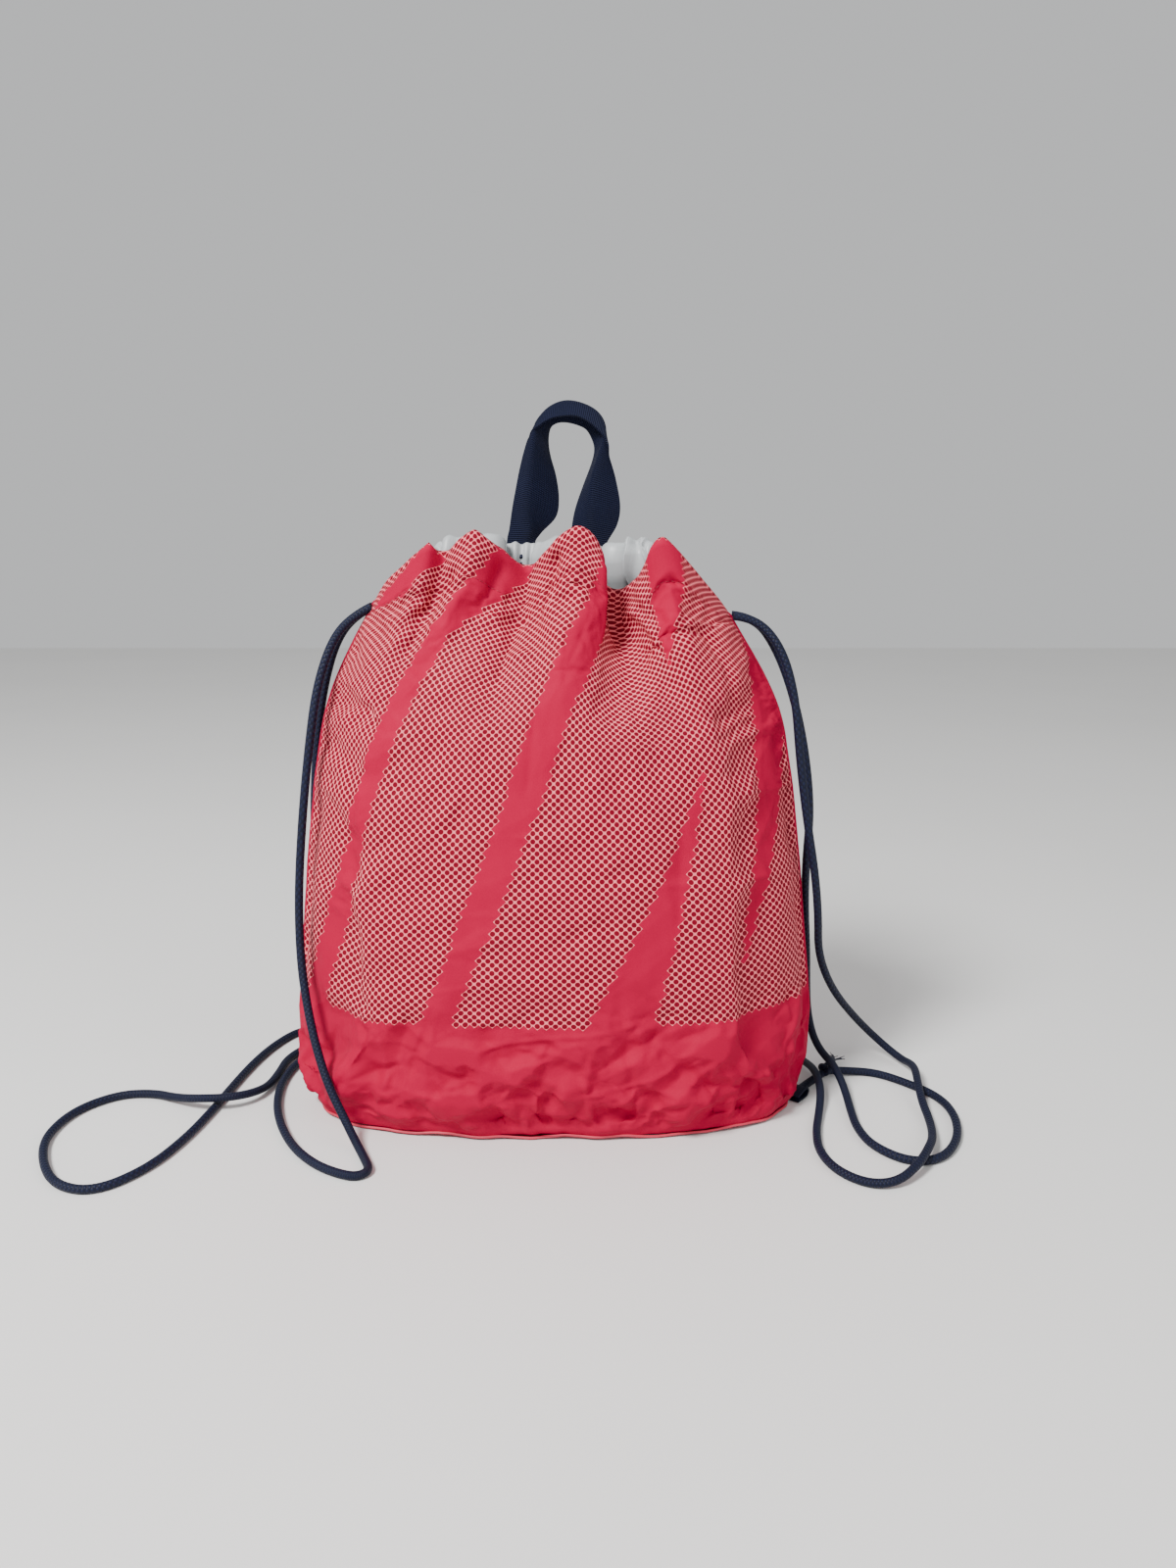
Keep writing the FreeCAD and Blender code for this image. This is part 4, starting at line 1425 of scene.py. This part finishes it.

# %% [markdown]
# ## Satin, webbing, braid and thread
#
# Satin is smooth and pale, with a soft gleam and fine threads that run one way. Webbing is woven in heavy
# ribs straight across, so its bump is a strong wave along the strap and a finer one across it. A braid is
# two sets of strands that wind opposite ways; the product of two slanted waves gives its rows of lozenges.
# The same waves also set the colour: lighter on the raised ribs and strands, and darker in the webbing's
# grooves and between the braid's strands, as painted shade.

# %% Satin and webbing
def satin():
    finish = Finish("lining_satin", Roughness=0.42, Specular_IOR_Level=0.45)
    across, along = finish.flat_place()
    patchy = finish.noise(finish.place_on("Object"), 40.0)
    finish.wear(Base_Color=finish.mix(patchy, colour(178, 181, 182), colour(150, 154, 156)))
    finish.wear(Roughness=0.36 + patchy * 0.16)
    fine = (across * (math.pi / 0.4)).maths("SINE") * 0.5 + (along * (math.pi / 1.4)).maths("SINE") * 0.2
    finish.bump(fine + patchy * 0.5, 0.04, 0.6)
    return finish.material


# NAVY and NAVY_LIGHT: on the webbing and the braid they are painted light and shade, the lighter navy on the
# raised ribs and strands and the darker in the hollows; on thread they are only random fibre tone
NAVY, NAVY_LIGHT = colour(6, 9, 24), colour(22, 29, 60)
RIB = 1.25             # millimetres from one rib of the webbing to the next


def webbing():
    finish = Finish("navy_webbing", Roughness=0.6, Specular_IOR_Level=0.14)
    across, along = finish.flat_place()
    rib = (along * (math.pi / RIB)).maths("SINE").maths("ABSOLUTE")
    thread = (across * (math.pi / 0.8)).maths("SINE").maths("ABSOLUTE")
    raised = rib * (0.55 + thread * 0.45)
    worn = finish.noise(finish.place_on("Object"), 70.0)
    # painted shade: the colour follows the ribs, NAVY_LIGHT on their raised tops and darker NAVY down in the
    # grooves; the worn noise only varies the tone at random
    finish.wear(Base_Color=finish.mix(raised * 0.5 + worn * 0.25, NAVY, NAVY_LIGHT))
    finish.wear(Roughness=0.5 + worn * 0.2)
    finish.bump(raised, 0.5, 1.0)
    return finish.material


lining_satin, navy_web = satin(), webbing()
print("made", lining_satin.name, navy_web.name)

# %% Braid and thread
STRANDS_ROUND = 8
LAY = 11.0             # millimetres along the cord for one turn of a strand


def braid(name, length):
    """A braid on a tube whose UV runs from 0 to 1 along and round it; its length is in millimetres."""
    finish = Finish(name, Roughness=0.55, Specular_IOR_Level=0.2)
    along, round_it = finish.uv_parts()
    turns = along * (length / LAY * STRANDS_ROUND / 2)
    around = round_it * (STRANDS_ROUND / 2)
    one = ((turns + around) * math.pi).maths("SINE").maths("ABSOLUTE")
    two = ((turns - around) * math.pi).maths("SINE").maths("ABSOLUTE")
    raised = one * two
    worn = finish.noise(finish.place_on("Object"), 60.0)
    # painted shade: the colour follows the strands, NAVY_LIGHT on their raised crowns and darker NAVY in the
    # hollows between them; the worn noise only varies the tone at random
    finish.wear(Base_Color=finish.mix(raised * 0.55 + worn * 0.25, NAVY, NAVY_LIGHT))
    finish.wear(Roughness=0.46 + worn * 0.2)
    finish.bump(raised, 0.35, 0.9)
    return finish.material


def thread(name, shade, light):
    finish = Finish(name, Roughness=0.5, Specular_IOR_Level=0.45)
    twist = finish.noise(finish.place_on("Object"), 1800.0, detail=1.0)
    finish.wear(Base_Color=finish.mix(twist, shade, light))
    finish.bump(twist, 0.05, 0.6)
    return finish.material


navy_thread = thread("navy_thread", NAVY, NAVY_LIGHT)
crimson_thread = thread("crimson_thread", CRIMSON_DEEP, CRIMSON)
print("made", navy_thread.name, crimson_thread.name)

# %% [markdown]
# ### Each piece gets its finish
#
# A braid's strands have to come out the same size on every cord, long or short, so each cord gets a finish
# made for its own length.

# %% Finishes on the pieces
HIDDEN_LENGTH, TIE_LENGTH, KNOT_LENGTH = 223.0, 27.0, 60.0      # millimetres


def dress(obj, material):
    obj.data.materials.clear()
    obj.data.materials.append(material)


dress(front_cloth, printed)
for obj in (back_cloth, base_cloth, *seams.values()):
    dress(obj, crimson)
dress(piping, thread("piping_edge", colour(184, 20, 56), colour(200, 60, 84)))
for obj in (front_lining, back_lining):
    dress(obj, lining_satin)
for obj in (handle, *tabs.values()):
    dress(obj, navy_web)
for obj in bartacks.values():
    dress(obj, navy_thread)
for obj in hem_stitches.values():
    dress(obj, crimson_thread)
for name, cord in strands.items():
    dress(cord, braid(f"{name}_braid_finish", strand_length[name] / MM))
for run in hem_runs.values():
    dress(run, braid(f"{run.name}_finish", HIDDEN_LENGTH))
for side_name in KNOTS:
    dress(ties[side_name], braid(f"{side_name}_tie_finish", TIE_LENGTH))
    dress(knots[side_name], braid(f"{side_name}_knot_finish", KNOT_LENGTH))
    dress(ends[side_name], navy_thread)
print("finishes made:", len(bpy.data.materials))

# %% [markdown]
# ## Tying the pieces to the frame
#
# The base, the piping, the side seams, the free cords, the knots, the ties, the frayed ends and the tabs
# ride on the frame's root body, and the bartacks on the back hem. The cloth is sewn to the bag below and to
# the hem above, and the hem slides out as the mouth opens; here the cloth, the linings, the hem stitching,
# the hem cords and the handle only have their placement baked into their meshes, and ride on no body.


def with_hem(obj):
    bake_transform(obj)


for obj, place in ((front_cloth, "front"), (front_lining, "front"), (hem_stitches["front"], "front"),
                   (back_cloth, "back"), (back_lining, "back"), (hem_stitches["back"], "back")):
    with_hem(obj)
for (side_name, place), run in hem_runs.items():
    with_hem(run)
    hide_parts(f"{side_name}_cord_{place}_run")
for obj in (base_cloth, piping, *seams.values(), *strands.values(), *knots.values(), *ties.values(),
            *ends.values(), *tabs.values()):
    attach(obj, "root")
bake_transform(handle)
for obj in bartacks.values():
    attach(obj, "back_hem")
print("blended with the hems:", 6 + len(hem_runs), "pieces, and the handle with its own joint")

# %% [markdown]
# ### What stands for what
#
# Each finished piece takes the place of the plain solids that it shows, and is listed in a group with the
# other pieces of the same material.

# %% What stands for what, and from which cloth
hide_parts("front_panel", "front_hem_channel")
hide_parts("back_panel", "back_hem_channel")
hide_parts("front_lining")
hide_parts("back_lining")
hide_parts("base_panel", "base_lining")
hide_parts("base_seam_piping")
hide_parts("handle_webbing", "handle_left_anchor", "handle_right_anchor")
for side_name in KNOTS:
    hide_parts(f"{side_name}_side_seam")
    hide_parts(f"{side_name}_knot")
    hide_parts(f"{side_name}_tie_loop")
    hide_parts(f"{side_name}_cord_tail")
    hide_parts(f"{side_name}_corner_tab")
    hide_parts(f"handle_{side_name}_bartack")
for name, cord in strands.items():
    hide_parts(name)

SLOTS = {
    "printed_shell": [front_cloth], "crimson_shell": [back_cloth, base_cloth, piping, *seams.values()],
    "lining": [front_lining, back_lining], "webbing": [handle, *tabs.values()],
    "cord": [*strands.values(), *knots.values(), *ties.values(), *ends.values()],
    "thread": [*bartacks.values(), *hem_stitches.values()],
}
for slot, pieces in SLOTS.items():
    print(slot, len(pieces))

# %% [markdown]
# ### The cords and the sheets
#
# Something limp is best described by what it was before it was used: a cord by its length and the place
# where it comes out, a sheet by its size when it lay flat. Here only each cord's exit point is worked out,
# in metres, and it is not kept.

# %% Each cord's exit point, in metres
for name, cord in strands.items():
    exit_point = tuple(c * MM for c in STRANDS[name][0])
print("cords", len(strands), "and sheets", 5)

# %% [markdown]
# ## The room
#
# The bag stands on a plain pale floor, which is only for the picture and isn't part of the bag.

# %% The floor
deselect_all()
bpy.ops.mesh.primitive_plane_add(size=6.0, location=(0, 0, 0))
floor = bpy.context.active_object
floor.name = "floor"
pale = Finish("pale_floor", Roughness=0.7)
clouds = pale.noise(pale.place_on("Object"), 3.0)
pale.wear(Base_Color=pale.mix(clouds, colour(226, 225, 223), colour(220, 219, 217)))
dress(floor, pale.material)
print("a floor of", tuple(round(d, 2) for d in floor.dimensions[:2]), "m")

# %% [markdown]
# ### Surround and lights
#
# A pale surround, one large soft light from the upper left and a weaker one from the right show the
# cloth's folds without hard shadows.

# %% Surround and lights
world = bpy.data.worlds.new("surround")
bpy.context.scene.world = world
world.use_nodes = True
world.node_tree.nodes["Background"].inputs["Color"].default_value = (0.90, 0.91, 0.92, 1)
world.node_tree.nodes["Background"].inputs["Strength"].default_value = 0.68


def soft_light(name, place, aim, size, power):
    data = bpy.data.lights.new(name, "AREA")
    data.shape = "DISK"
    data.size = size
    data.energy = power
    light = bpy.data.objects.new(name, data)
    light.location = place
    light.rotation_euler = (Vector(aim) - Vector(place)).to_track_quat("-Z", "Y").to_euler()
    bpy.context.collection.objects.link(light)


soft_light("window", (-0.9, -1.1, 1.7), (0, 0, 0.15), 0.6, 78)
soft_light("room", (1.5, -0.9, 1.1), (0, 0, 0.15), 1.4, 10)
print("lights", [light.name for light in bpy.data.lights])
